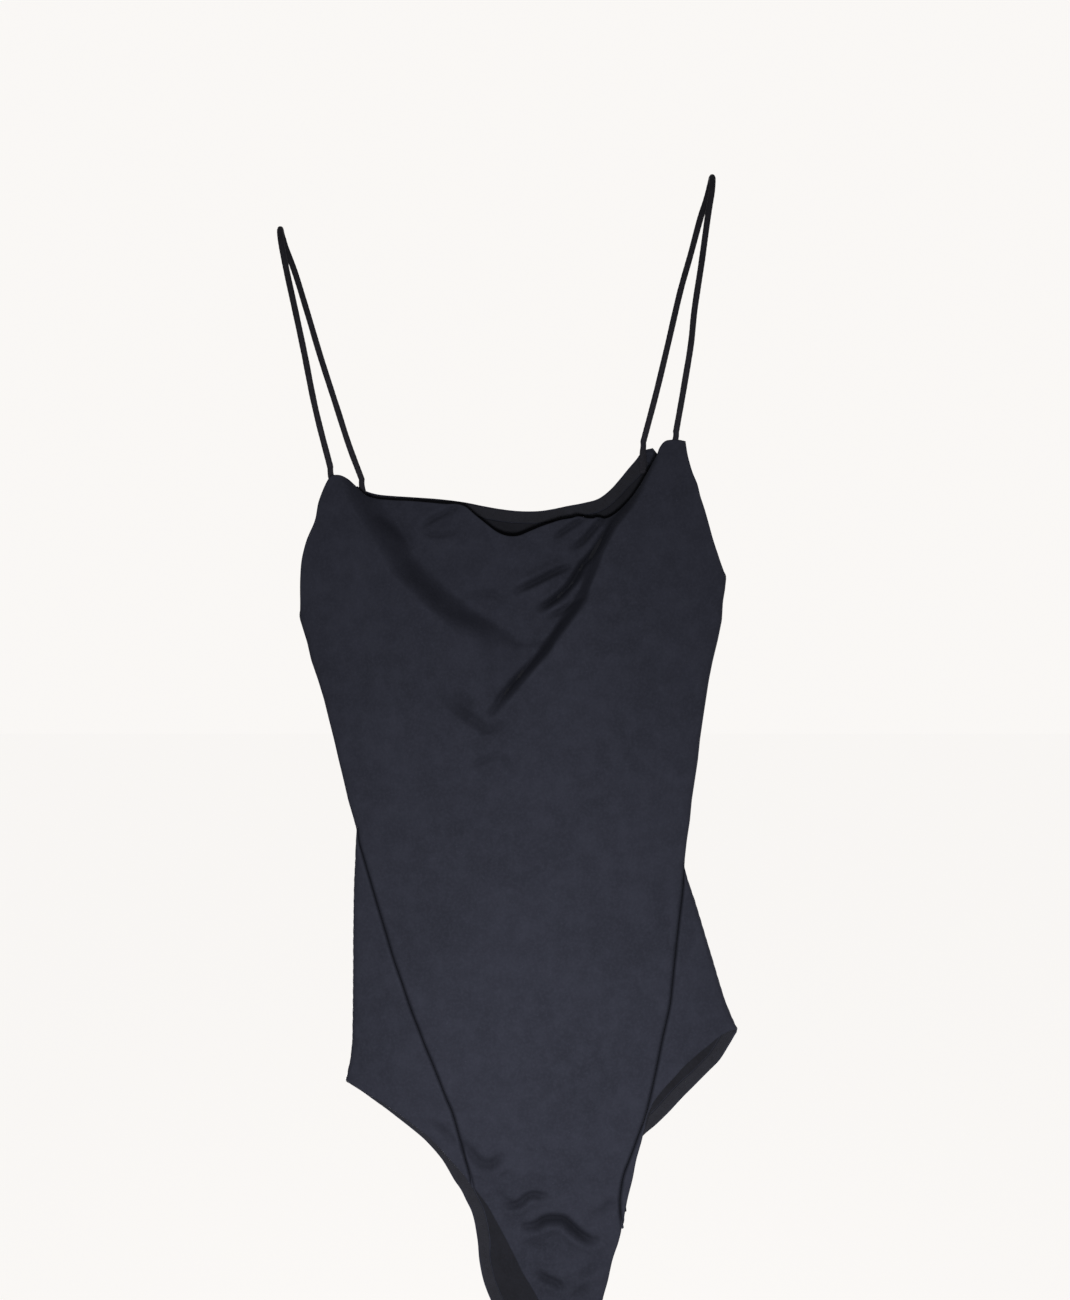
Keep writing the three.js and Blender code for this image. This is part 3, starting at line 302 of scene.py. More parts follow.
def catmull(points, step, closed=False):
    """Points every step along the centripetal Catmull-Rom curve through the given ones, ends kept."""
    p = np.array(points, float)
    first, last = 2 * p[0] - p[1], 2 * p[-1] - p[-2]
    q = np.vstack([first, p, last])
    out = []
    for i in range(1, len(q) - 2):
        a, b, c, d = q[i - 1 : i + 3]
        t = [max(np.linalg.norm(v), 1e-6) ** 0.5 for v in (b - a, c - b, d - c)]
        m1 = ((b - a) / t[0] - (c - a) / (t[0] + t[1]) + (c - b) / t[1]) * t[1]
        m2 = ((c - b) / t[1] - (d - b) / (t[1] + t[2]) + (d - c) / t[2]) * t[1]
        n = max(2, int(np.linalg.norm(c - b) / (step * 0.3)))
        u = (np.arange(n) / n)[:, None]
        out.append(
            (2 * u**3 - 3 * u**2 + 1) * b
            + (u**3 - 2 * u**2 + u) * m1
            + (-2 * u**3 + 3 * u**2) * c
            + (u**3 - u**2) * m2
        )
    return spaced(np.vstack([*out, p[-1:]]), step)


def spaced(p, step):
    """The same line with even steps, ends kept."""
    s = np.concatenate([[0], np.cumsum(np.linalg.norm(np.diff(p, axis=0), axis=1))])
    n = max(1, round(s[-1] / step))
    at = np.linspace(0, s[-1], n + 1)
    return np.stack([np.interp(at, s, p[:, k]) for k in range(p.shape[1])], 1)


def meeting(a, b):
    """Where two lines first cross: (piece of a up to there, piece of b from there on)."""
    for i in range(len(a) - 1):
        r = a[i + 1] - a[i]
        s = b[1:] - b[:-1]
        d = r[0] * s[:, 1] - r[1] * s[:, 0]
        w = b[:-1] - a[i]
        with np.errstate(divide="ignore", invalid="ignore"):
            t = (w[:, 0] * s[:, 1] - w[:, 1] * s[:, 0]) / d
            u = (w[:, 0] * r[1] - w[:, 1] * r[0]) / d
        hit = np.nonzero((t >= 0) & (t <= 1) & (u >= 0) & (u <= 1))[0]
        if len(hit):
            k = hit[0]
            point = a[i] + t[k] * r
            return np.vstack([a[: i + 1], point]), np.vstack([point, b[k + 1 :]]), np.vstack([b[: k + 1], point])
    raise ValueError("the lines don't cross")


# ---- the surface of the garment ----
fold_left, fold_right = along(FOLD_LEFT), along(FOLD_RIGHT)
bow_front, bow_back = cubic(H_AT, H_FRONT), cubic(H_AT, H_BACK)
fold_radius = cubic(E_AT, E_IS)


def level(x, z):
    return z - TILT * (x - TX)


def cowl_sides(x, z):
    """How far across the slope at each side of the drooping neckline a point lies, from 0 outside to 1 inside."""
    dl, sl, _ = to_line(x, z, COWL_LEFT)
    dr, sr, _ = to_line(x, z, COWL_RIGHT)
    wide = 18 + 19 * ease((-240 - z) / 26)
    return np.clip((dl * sl + 0.5) / wide, 0, 1), np.clip((1.2 - dr * sr) / 6.2, 0, 1)


def cowl(x, z):
    """How far the drooping neckline sinks: gently from its left side, sharply from its right."""
    left, right = cowl_sides(x, z)
    foot = ease((z + 322) / 90)
    return COWL_DEPTH * (0.6 * ease(left) + 0.4 * left) * ease(right) * (0.5 + 0.5 * foot)


COWL_DEPTH = 17.5


SMOOTH = {}


def creases(x, z, found, soft):
    total = np.zeros(x.shape)
    for line, depth, wide, ridge, side in found:
        a = np.array(line, float)
        pad = 5 * wide
        near = (
            (x > a[:, 0].min() - pad) & (x < a[:, 0].max() + pad)
            & (z > a[:, 1].min() - pad) & (z < a[:, 1].max() + pad)
        )
        if not near.any():
            continue
        if id(line) not in SMOOTH:
            SMOOTH[id(line)] = catmull(line, 2.4)
        d, s, t = to_line(x[near], z[near], SMOOTH[id(line)])
        s = s * d
        window = ease(t / 0.3) * ease((1 - t) / 0.3)
        beyond = np.exp(-((np.maximum(d - np.abs(s), 0) / wide) ** 2))
        groove = depth * np.exp(-((s / wide) ** 2))
        bank = ridge * np.exp(-(((s - side * 2.0 * wide) / (1.5 * wide)) ** 2))
        total[near] += (groove - (0 if soft else 1) * bank) * (0.25 + 0.75 * window) * ease(np.minimum(t, 1 - t) / 0.06) * beyond
    return total


SEAM_DIP, SEAM_WIDE = 2.3, 1.0


def seam_dip(x, z, wide=SEAM_WIDE):
    """The two panels dip towards each other along the side seams of the front."""
    out = np.zeros(x.shape)
    for side, lean in (("left", 0.948), ("right", 0.98)):
        line = SIDE[side]["seam"][::-1]
        d = np.abs(x - np.interp(z, line[:, 1], line[:, 0])) * lean
        out += np.exp(-((d / wide) ** 2)) * ease((z - line[0, 1] + 3) / 3) * ease((line[-1, 1] + 3 - z) / 3)
    return SEAM_DIP * out


def sink(x, z, front, soft):
    """How far the cloth lies inside its smooth form, in mm along Y."""
    away = np.minimum(x - fold_left(z), fold_right(z) - x)
    keep = ease(away / 14)
    if front:
        form = cowl(x, z) + creases(x, z, CREASES_FRONT, soft)
        wave = 0.75 * noise(x, z, 46, 3) + 0.3 * noise(x, z, 19, 4) + 0.12 * noise(x, z, 8, 5)
        low = ease((-560 - z) / 60)
        wave = wave + low * (0.35 * noise(x, z, 13, 6) + 0.2 * noise(x * 0.6 + z, z, 9, 7))
    else:
        form = 1.5 * creases(x, z, CREASES_BACK, soft)
        wave = 1.1 * noise(x, z, 50, 13) + 0.5 * noise(x + 0.4 * z, z, 21, 14) + 0.14 * noise(x, z, 9, 15)
    seam = seam_dip(x, z, 4.5 if soft else SEAM_WIDE) * ease(away / 4) if front else 0
    return (form + (np.maximum(wave, -0.4) if soft else wave)) * keep + seam


# cross-sections every ROW mm: the arc length from each side fold inwards, on the front and on the back
ROW = 1.5
ROWS = np.arange(-707.0, -133.0, ROW)
ACROSS = 260


def section(z, side, front):
    l, r = fold_left(z), fold_right(z)
    middle, half = (l + r) / 2, (r - l) / 2
    dx = half * np.linspace(0, 1, ACROSS) ** 2
    x = r - dx if side > 0 else l + dx
    h = level(x, np.full(ACROSS, z))
    e = fold_radius(h)
    u = np.clip(dx / e, 0, 1)
    cap = np.sqrt(np.maximum(0, 1 - (1 - u) ** 2))
    cap = cap + (1 - cap) * ease((h + 234) / 14)
    s = np.clip(np.abs(x - middle) / half, 0, 1)
    y = e * cap + (bow_front(h) if front else bow_back(h)) * (1 - s**2.6)
    a = np.concatenate([[0], np.cumsum(np.hypot(np.diff(x), np.diff(y)))])
    return a, x, (-y if front else y)


TABLE = {
    (side, front): [np.array(v) for v in zip(*[section(z, side, front) for z in ROWS])]
    for side in (1, -1)
    for front in (True, False)
}


def total(side, front, z):
    """Arc length from the middle to the side fold."""
    return np.interp(z, ROWS, TABLE[side, front][0][:, -1])


def on_section(arc, z, side, front):
    """(x, y) at an arc length from the fold."""
    a, xs, ys = TABLE[side, front]
    k = np.clip(((z - ROWS[0]) / ROW).astype(int), 0, len(ROWS) - 2)
    t = (z - ROWS[k]) / ROW
    x, y = np.zeros(len(z)), np.zeros(len(z))
    order = np.argsort(k, kind="stable")
    for part in np.split(order, np.nonzero(np.diff(k[order]))[0] + 1):
        if not len(part):
            continue
        i = k[part[0]]
        c, w = arc[part], t[part]
        x[part] = np.interp(c, a[i], xs[i]) * (1 - w) + np.interp(c, a[i + 1], xs[i + 1]) * w
        y[part] = np.interp(c, a[i], ys[i]) * (1 - w) + np.interp(c, a[i + 1], ys[i + 1]) * w
    return x, y


def across(x, z, front_side, panel):
    """The unrolled coordinate q of points (x, z) on one side of the garment, for a panel."""
    x, z = np.array(x, float), np.maximum(np.array(z, float), BEND_Z)
    middle = (fold_left(z) + fold_right(z)) / 2
    q = np.zeros(len(x))
    for i in range(len(x)):
        side = 1 if x[i] >= middle[i] else -1
        a, xs, _ = TABLE[side, front_side]
        k = int(np.clip((z[i] - ROWS[0]) / ROW, 0, len(ROWS) - 2))
        t = (z[i] - ROWS[k]) / ROW
        arc = 0
        for kk, w in ((k, 1 - t), (k + 1, t)):
            row = xs[kk] * side
            arc += w * np.interp(-x[i] * side, -row, a[kk])
        if panel == "front" or not front_side:
            q[i] = side * (total(side, front_side, z[i]) - arc)
        else:
            q[i] = side * (total(side, False, z[i]) + arc)
    return q


def place(q, w, panel, soft=False):
    """Points (n, 3) of the outer face at unrolled coordinates."""
    q, w = np.asarray(q, float), np.asarray(w, float)
    turn = np.maximum(0, (BEND_Z - w) / CROTCH_R)
    z = np.maximum(w, BEND_Z)
    out = np.zeros((len(q), 3))
    for side in (1, -1):
        own = (q >= 0) if side > 0 else (q < 0)
        if panel == "front":
            groups = [(own, True, total(side, True, z) - np.abs(q))]
        else:
            arc = total(side, False, z) - np.abs(q)
            groups = [(own & (arc >= 0), False, arc), (own & (arc < 0), True, -arc)]
        for mask, front, arc in groups:
            if not mask.any():
                continue
            x, y = on_section(np.maximum(arc[mask], 0), z[mask], side, front)
            s = sink(x, z[mask], front, soft)
            y = y + (s if front else -s)
            out[mask, 0], out[mask, 1] = x, y
    out[:, 1] *= np.cos(turn)
    out[:, 2] = np.where(w < BEND_Z, BEND_Z - CROTCH_R * np.sin(turn), w)
    return out


def place_and_face(q, w, panel, soft=False, d=0.7):
    """Points and outward normals."""
    p = place(q, w, panel, soft)
    dq = place(q + d, w, panel, soft) - place(q - d, w, panel, soft)
    dw = place(q, w + d, panel, soft) - place(q, w - d, panel, soft)
    n = np.cross(dq, dw) * (1 if panel == "front" else -1)
    return p, n / np.maximum(np.linalg.norm(n, axis=1, keepdims=True), 1e-9)


# ---- outlines of the panels in unrolled coordinates ----
def smooth(line):
    return catmull(line, 0.8)


L = {k: smooth(v) for k, v in {
    "neck_front": FRONT_NECK, "neck_back": BACK_NECK,
    "arm_front_left": ARM_FRONT_LEFT, "arm_front_right": ARM_FRONT_RIGHT,
    "arm_back_left": ARM_BACK_LEFT, "arm_back_right": ARM_BACK_RIGHT,
    "seam_left": SEAM_LEFT, "seam_right": SEAM_RIGHT,
    "hem_front_left": HEM_FRONT_LEFT, "hem_front_right": HEM_FRONT_RIGHT,
    "hem_back_left": HEM_BACK_LEFT, "hem_back_right": HEM_BACK_RIGHT,
}.items()}
SIDE = {}
for side in ("left", "right"):
    seam, low, high = meeting(L["seam_" + side], L["hem_front_" + side])
    SIDE[side] = {"seam": seam, "hem_low": low, "hem_high": high}


def flat(line, front_side, panel):
    return np.stack([across(line[:, 0], line[:, 1], front_side, panel), line[:, 1]], 1)


def to_bend(line, side, front):
    """A hem down to the fold at the crotch, then round it to the crotch seam."""
    keep = line[line[:, 1] > BEND_Z + 0.4]
    end = math.pi / 2 + (SEAM_TURN if front else -SEAM_TURN)
    panel = "front" if front else "back"
    upper = flat(keep, front, panel)
    q_end = across([31.6 if side == "left" else 63.2], [BEND_Z], front, panel)[0]
    n = 8
    q0 = across([np.interp(BEND_Z, line[::-1, 1], line[::-1, 0])], [BEND_Z], front, panel)[0]
    t = np.linspace(0, 1, n)
    lower = np.stack([q0 + (q_end - q0) * ease(t), BEND_Z - CROTCH_R * end * t], 1)
    return np.vstack([upper, lower])


def fold_run(side, z_top, z_low, front_side, panel):
    z = np.linspace(z_top, z_low, max(2, int(abs(z_top - z_low) / 1.5)))
    s = 1 if side == "right" else -1
    return np.stack([s * total(s, front_side, z), z], 1)


def outline(panel):
    """[(points, free edge or seam)], clockwise from the left end of the neckline."""
    front = panel == "front"
    tag = "front" if front else "back"
    runs = [(flat(L["neck_" + tag], front, panel), True)]
    for side in ("right", "left"):
        arm = flat(L[f"arm_{tag}_{side}"], front, panel)
        s = 1 if side == "right" else -1
        arm[-1] = [s * total(s, front, arm[-1, 1]), L[f"arm_front_{side}"][-1, 1]]
        seam = SIDE[side]["seam"]
        run = [(arm, True), (fold_run(side, arm[-1, 1], seam[0, 1], front, panel), False)]
        seam_q = flat(seam, True, panel)
        seam_q[0, 0] = s * total(s, front, seam[0, 1])
        run.append((seam_q, False))
        if front:
            run.append((to_bend(SIDE[side]["hem_low"], side, True), True))
        else:
            high = flat(SIDE[side]["hem_high"][::-1], True, panel)
            low = to_bend(L[f"hem_back_{side}"], side, False)
            corner = [s * total(s, False, high[-1, 1]), high[-1, 1]]
            high[-1] = corner
            low[0] = corner
            run += [(high, True), (low, True)]
        if side == "left":
            run = [(p[::-1], free) for p, free in run[::-1]]
        runs += run
        if side == "right":
            runs.append(None)
    i = runs.index(None)
    runs[i] = (np.vstack([runs[i - 1][0][-1], runs[i + 1][0][0]]), False)
    return runs


def loop_of(runs, step):
    """One closed loop of points with the kind of each stretch."""
    points, free = [], []
    for p, kind in runs:
        q = spaced(p, step)
        points.append(q[:-1])
        free += [kind] * (len(q) - 1)
    return np.vstack(points), np.array(free)


def to_loop(points, a, b):
    """Distance from points to the nearest of the short segments a-b."""
    if not len(a):
        return np.full(len(points), 1e9)
    tree = KDTree(len(a))
    for i, m in enumerate((a + b) / 2):
        tree.insert((m[0], m[1], 0), i)
    tree.balance()
    k = min(5, len(a))
    near = np.array([[f[1] for f in tree.find_n((x, y, 0), k)] for x, y in points.tolist()], int).reshape(len(points), -1)
    d = (b - a)[near]
    p = points[:, None, :] - a[near]
    t = np.clip((p * d).sum(2) / np.maximum((d**2).sum(2), 1e-12), 0, 1)
    e = p - t[..., None] * d
    return np.sqrt((e**2).sum(2).min(1))


def inside(points, loop):
    a, b = loop, np.roll(loop, -1, 0)
    odd = np.zeros(len(points), bool)
    for i in range(0, len(points), 1500):
        x, y = points[i : i + 1500, 0][:, None], points[i : i + 1500, 1][:, None]
        over = (a[:, 1][None] > y) != (b[:, 1][None] > y)
        with np.errstate(divide="ignore", invalid="ignore"):
            cx = (b[:, 0] - a[:, 0]) * (y - a[:, 1]) / (b[:, 1] - a[:, 1]) + a[:, 0]
        odd[i : i + 1500] = ((over & (x < cx)).sum(1) % 2) == 1
    return odd


def inward(loop):
    """Unit normals into a clockwise loop."""
    t = np.roll(loop, -1, 0) - np.roll(loop, 1, 0)
    n = np.stack([t[:, 1], -t[:, 0]], 1)
    return n / np.maximum(np.linalg.norm(n, axis=1, keepdims=True), 1e-9)


def shrunk(loop, by):
    """The loop moved inwards, without the points that come too near another stretch."""
    p = loop + inward(loop) * by
    d = to_loop(p, loop, np.roll(loop, -1, 0))
    return p[(d > by * 0.97) & inside(p, loop)]


def triangles(loop, rings, spacing, detail=None):
    """A mesh of the inside of a loop: rows of points along the edge, a triangular grid inside."""
    sets = [loop]
    for r in rings:
        sets.append(shrunk(loop, r))
    lo, hi = loop.min(0), loop.max(0)
    for step, which in ((spacing, False), (spacing * 0.58, True)):
        if which and detail is None:
            continue
        rise = step * math.sqrt(3) / 2
        rows = []
        for j, y in enumerate(np.arange(lo[1], hi[1], rise)):
            xs = np.arange(lo[0] + (step / 2 if j % 2 else 0), hi[0], step)
            rows.append(np.stack([xs, np.full(len(xs), y)], 1))
        grid = np.vstack(rows)
        grid = grid[inside(grid, loop)]
        d = to_loop(grid, loop, np.roll(loop, -1, 0))
        grid = grid[d > rings[-1] + 0.62 * spacing]
        if detail is not None:
            grid = grid[detail(grid) == which]
        sets.append(grid)
    p = np.vstack(sets)
    n = len(loop)
    made = delaunay_2d_cdt(
        [Vector((float(a), float(b))) for a, b in p],
        [(i, (i + 1) % n) for i in range(n)], [], 1, 1e-5,
    )
    return np.array([tuple(v) for v in made[0]]), np.array(made[2], int)


# ---- meshes ----
def make(name, verts, faces, material, smooth_faces=True, extra=None):
    me = bpy.data.meshes.new(name)
    me.from_pydata((np.asarray(verts) * MM).tolist(), [], [tuple(int(i) for i in f) for f in faces])
    me.validate()
    me.update()
    if smooth_faces:
        me.polygons.foreach_set("use_smooth", [True] * len(me.polygons))
    ob = bpy.data.objects.new(name, me)
    bpy.context.scene.collection.objects.link(ob)
    me.materials.append(material)
    return ob


def face_normals(p, t):
    n = np.cross(p[t[:, 1]] - p[t[:, 0]], p[t[:, 2]] - p[t[:, 0]])
    out = np.zeros_like(p)
    for k in range(3):
        np.add.at(out, t[:, k], n)
    return out / np.maximum(np.linalg.norm(out, axis=1, keepdims=True), 1e-12)


AREA = {}


# painted shade: how much darker to draw the cloth in its creases, on the slopes at the sides of the drooping neckline
# and along the side seams of the front
def painted_shade(x, z, front):
    line = np.where(front, 0.13 * creases(x, z, CREASES_FRONT, False), 0.08 * creases(x, z, CREASES_BACK, False))
    left, right = cowl_sides(x, z)
    bank = np.maximum((4 * left * (1 - left)) ** 0.75 * ease((z + 272) / 26), 1.9 * np.sqrt(right * (1 - right)) * (left > 0.4) * ease((z + 305) / 30))
    bank = bank * (0.85 + 0.3 * noise(x, z, 11, 31))
    soft = np.clip(line + np.where(front, 0.34 * bank, 0), 0, 0.7)
    return np.maximum(soft, np.where(front, 0.9 / SEAM_DIP * seam_dip(x, z, 0.55), 0))


def detailed(panel):
    """Which points of a panel lie near a crease or a side seam, so need a finer mesh."""
    lines = CREASES_FRONT if panel == "front" else []
    marks = [catmull(c[0], 2.0) for c in lines] + [spaced(SIDE[k]["seam"], 2.0) for k in ("left", "right")]
    if panel == "front":
        marks += [catmull(COWL_LEFT[2:], 2.0) + [6, 3], catmull(COWL_RIGHT[3:], 2.0)]
    marks = np.vstack(marks)
    tree = KDTree(len(marks))
    for i, (x, z) in enumerate(marks.tolist()):
        tree.insert((x, z, 0), i)
    tree.balance()

    def near(q):
        p = place(q[:, 0], q[:, 1], panel)
        front = p[:, 1] < 2
        reach = 8.0 if panel == "front" else 5.0
        return front & np.array([tree.find((x, z, 0))[2] < reach for x, z in p[:, [0, 2]].tolist()])

    return near


def shell(name, panel, loop, free, material, spacing, rings, outer, thick, edge_r=None, soft=False, detail=None):
    """A closed sheet of cloth: its outer face lies `outer` inside the garment's face; a free edge is turned and rounder."""
    flat_points, tri = triangles(loop, rings, spacing, detail)
    a, b = loop, np.roll(loop, -1, 0)
    d_all = to_loop(flat_points, a, b)
    d_seam = to_loop(flat_points, a[~free], b[~free]) if (~free).any() else np.full(len(flat_points), 1e9)
    p = place(flat_points[:, 0], flat_points[:, 1], panel, soft)
    two = flat_points[tri]
    turn = np.cross(two[:, 1] - two[:, 0], two[:, 2] - two[:, 0])
    want = 1 if panel == "front" else -1
    tri = np.where((turn * want > 0)[:, None], tri, tri[:, ::-1])
    size = np.linalg.norm(np.cross(p[tri[:, 1]] - p[tri[:, 0]], p[tri[:, 2]] - p[tri[:, 0]]), axis=1) / 2
    AREA[name] = float(size.sum()) * 1e-6
    n = face_normals(p, tri)
    r0 = thick / 2
    r = np.full(len(p), r0)
    if edge_r:
        r = r0 + (edge_r - r0) * ease((d_seam - 0.3) / 4.0)
    d = d_all
    top = np.where(d < r, r - np.sqrt(np.maximum(0, r * r - (r - np.minimum(d, r)) ** 2)), 0)
    low = np.where(d < r, 2 * r - top, 2 * r)
    if edge_r:
        low = low + (thick - 2 * r) * ease((d - r) / 0.55) * (d > r)
    edge = d < 1e-3
    low = np.where(edge, r, low)
    top = np.where(edge, r, top)
    up = p - n * (outer + top)[:, None]
    down = p - n * (outer + low)[:, None]
    index = np.full(len(p), -1)
    index[~edge] = np.arange((~edge).sum()) + len(p)
    index[edge] = np.nonzero(edge)[0]
    verts = np.vstack([up, down[~edge]])
    faces = np.vstack([tri, index[tri][:, ::-1]])
    flat_faces = [f for f in faces if len(set(f.tolist())) == 3]
    ob = make(name, verts, flat_faces, material)
    if detail:
        # painted shade: the cloth is drawn darker along its creases, on the slopes of the drooping neckline and along
        # the side seams
        h = painted_shade(p[:, 0], p[:, 2], p[:, 1] < 2)
        mark = ob.data.attributes.new("painted_shade", "FLOAT", "POINT")
        mark.data.foreach_set("value", np.concatenate([h, h[~edge]]))
    return ob


def ribbon(name, parts, columns, material, caps=True):
    """A long closed strip. parts: [(panel, lines (n, 2), directions (n, 2))]; columns: its section as (distance from the line, depth) in order round it."""
    rows = []
    for panel, line, way in parts:
        stack = []
        for dist, depth in columns:
            q = line + way * dist
            p, n = place_and_face(q[:, 0], q[:, 1], panel, soft=True)
            stack.append(p - n * depth)
        rows.append(np.stack(stack, 1))
    g = np.vstack(rows)
    return strip(name, g, material)


def strip(name, g, material):
    """A closed strip from rows of section points (rows, columns, 3)."""
    n, m = g.shape[:2]
    verts = g.reshape(-1, 3)
    faces = []
    for i in range(n - 1):
        for j in range(m):
            a, b = i * m + j, i * m + (j + 1) % m
            faces.append((a, b, b + m, a + m))
    centre = [verts[:m].mean(0), verts[-m:].mean(0)]
    verts = np.vstack([verts, centre])
    for j in range(m):
        faces.append((n * m, (j + 1) % m, j))
        a = (n - 1) * m
        faces.append((n * m + 1, a + j, a + (j + 1) % m))
    ob = make(name, verts, faces, material)
    fix_normals(ob)
    return ob


def fix_normals(ob):
    import bmesh
    bm = bmesh.new()
    bm.from_mesh(ob.data)
    bmesh.ops.recalc_face_normals(bm, faces=bm.faces)
    bm.to_mesh(ob.data)
    bm.free()


def frames(path):
    """Tangents and two side vectors carried along a path."""
    t = np.gradient(path, axis=0)
    t /= np.linalg.norm(t, axis=1, keepdims=True)
    side = np.zeros_like(path)
    ref = np.array([0, 1.0, 0]) if abs(t[0, 1]) < 0.9 else np.array([1.0, 0, 0])
    s = ref - t[0] * (ref @ t[0])
    for i in range(len(path)):
        s = s - t[i] * (s @ t[i])
        s = s / np.linalg.norm(s)
        side[i] = s
    return t, side, np.cross(t, side)


def tube(name, path, radius, sides, material, ball=True):
    """A closed round cord. radius(i, angle) gives its radius; its ends are rounded."""
    t, a, b = frames(path)
    ang = np.linspace(0, 2 * np.pi, sides, endpoint=False)
    rings = []
    n = len(path)
    caps = [math.pi / 2 * k / 5 for k in (4, 3, 2, 1)] if ball else []
    for c in caps:
        r = radius(0, ang) * math.cos(c)
        rings.append(path[0] - t[0] * radius(0, ang).mean() * math.sin(c) + np.outer(np.cos(ang) * r, a[0]) + np.outer(np.sin(ang) * r, b[0]))
    for i in range(n):
        r = radius(i, ang)
        rings.append(path[i] + np.outer(np.cos(ang) * r, a[i]) + np.outer(np.sin(ang) * r, b[i]))
    for c in caps[::-1]:
        r = radius(n - 1, ang) * math.cos(c)
        rings.append(path[-1] + t[-1] * radius(n - 1, ang).mean() * math.sin(c) + np.outer(np.cos(ang) * r, a[-1]) + np.outer(np.sin(ang) * r, b[-1]))
    g = np.array(rings)
    verts = g.reshape(-1, 3)
    m = sides
    faces = [
        (i * m + j, i * m + (j + 1) % m, (i + 1) * m + (j + 1) % m, (i + 1) * m + j)
        for i in range(len(g) - 1) for j in range(m)
    ]
    tips = [
        path[0] - t[0] * (radius(0, ang).mean() if ball else 0),
        path[-1] + t[-1] * (radius(n - 1, ang).mean() if ball else 0),
    ]
    verts = np.vstack([verts, tips])
    k = len(g) * m
    for j in range(m):
        faces.append((k, (j + 1) % m, j))
        faces.append((k + 1, k - m + j, k - m + (j + 1) % m))
    ob = make(name, verts, faces, material)
    fix_normals(ob)
    return ob


# ---- materials ----
def rgb(r, g, b):
    """An sRGB colour as linear values."""
    f = lambda c: ((c / 255 + 0.055) / 1.055) ** 2.4 if c > 10.3 else c / 255 / 12.92
    return (f(r), f(g), f(b), 1)


class Nodes:
    def __init__(self, name, roughness, sheen=0.0, sheen_tint=(1, 1, 1, 1), specular=0.3, sheen_rough=0.4):
        self.mat = bpy.data.materials.new(name)
        self.mat.use_nodes = True
        self.tree = self.mat.node_tree
        self.shader = self.tree.nodes["Principled BSDF"]
        s = self.shader.inputs
        s["Roughness"].default_value = roughness
        s["Sheen Weight"].default_value = sheen
        s["Sheen Roughness"].default_value = sheen_rough
        s["Sheen Tint"].default_value = sheen_tint
        s["Specular IOR Level"].default_value = specular
        self.at = self.add("ShaderNodeTexCoord").outputs["Object"]

    def add(self, kind, **values):
        n = self.tree.nodes.new(kind)
        for k, v in values.items():
            if k in n.inputs:
                n.inputs[k].default_value = v
            else:
                setattr(n, k, v)
        return n

    def link(self, a, b):
        self.tree.links.new(a, b)

    def noise(self, scale, detail=2.0, rough=0.5, vector=None):
        n = self.add("ShaderNodeTexNoise", Scale=scale, Detail=detail, Roughness=rough)
        self.link(vector or self.at, n.inputs["Vector"])
        return n.outputs["Fac"]

    def wave(self, scale, direction, distortion=0.0, vector=None, profile="SIN"):
        n = self.add("ShaderNodeTexWave", Scale=scale, Distortion=distortion, wave_type="BANDS", bands_direction=direction, wave_profile=profile)
        n.inputs["Detail"].default_value = 1.0
        n.inputs["Detail Scale"].default_value = 1.5
        self.link(vector or self.at, n.inputs["Vector"])
        return n.outputs["Fac"]

    def ramp(self, fac, stops):
        n = self.add("ShaderNodeValToRGB")
        e = n.color_ramp.elements
        for i, (at, c) in enumerate(stops):
            item = e[i] if i < 2 else e.new(at)
            item.position, item.color = at, c
        self.link(fac, n.inputs["Fac"])
        return n.outputs["Color"]

    def math(self, op, a, b):
        n = self.add("ShaderNodeMath", operation=op)
        for i, v in enumerate((a, b)):
            if isinstance(v, (int, float)):
                n.inputs[i].default_value = v
            else:
                self.link(v, n.inputs[i])
        return n.outputs[0]

    def mix(self, fac, a, b, kind="MIX"):
        n = self.tree.nodes.new("ShaderNodeMix")
        n.data_type, n.blend_type = "RGBA", kind
        for i, v in ((0, fac), (6, a), (7, b)):
            if isinstance(v, (int, float, tuple)):
                n.inputs[i].default_value = v
            else:
                self.link(v, n.inputs[i])
        return n.outputs[2]

    def finish(self, colour, height=None, distance=0.0002, strength=0.5, rough=None):
        self.link(colour, self.shader.inputs["Base Color"])
        if height is not None:
            b = self.add("ShaderNodeBump", Strength=strength, Distance=distance)
            self.link(height, b.inputs["Height"])
            self.link(b.outputs["Normal"], self.shader.inputs["Normal"])
        if rough is not None:
            self.link(rough, self.shader.inputs["Roughness"])
        return self.mat


def grey(v):
    return (v, v, v, 1)


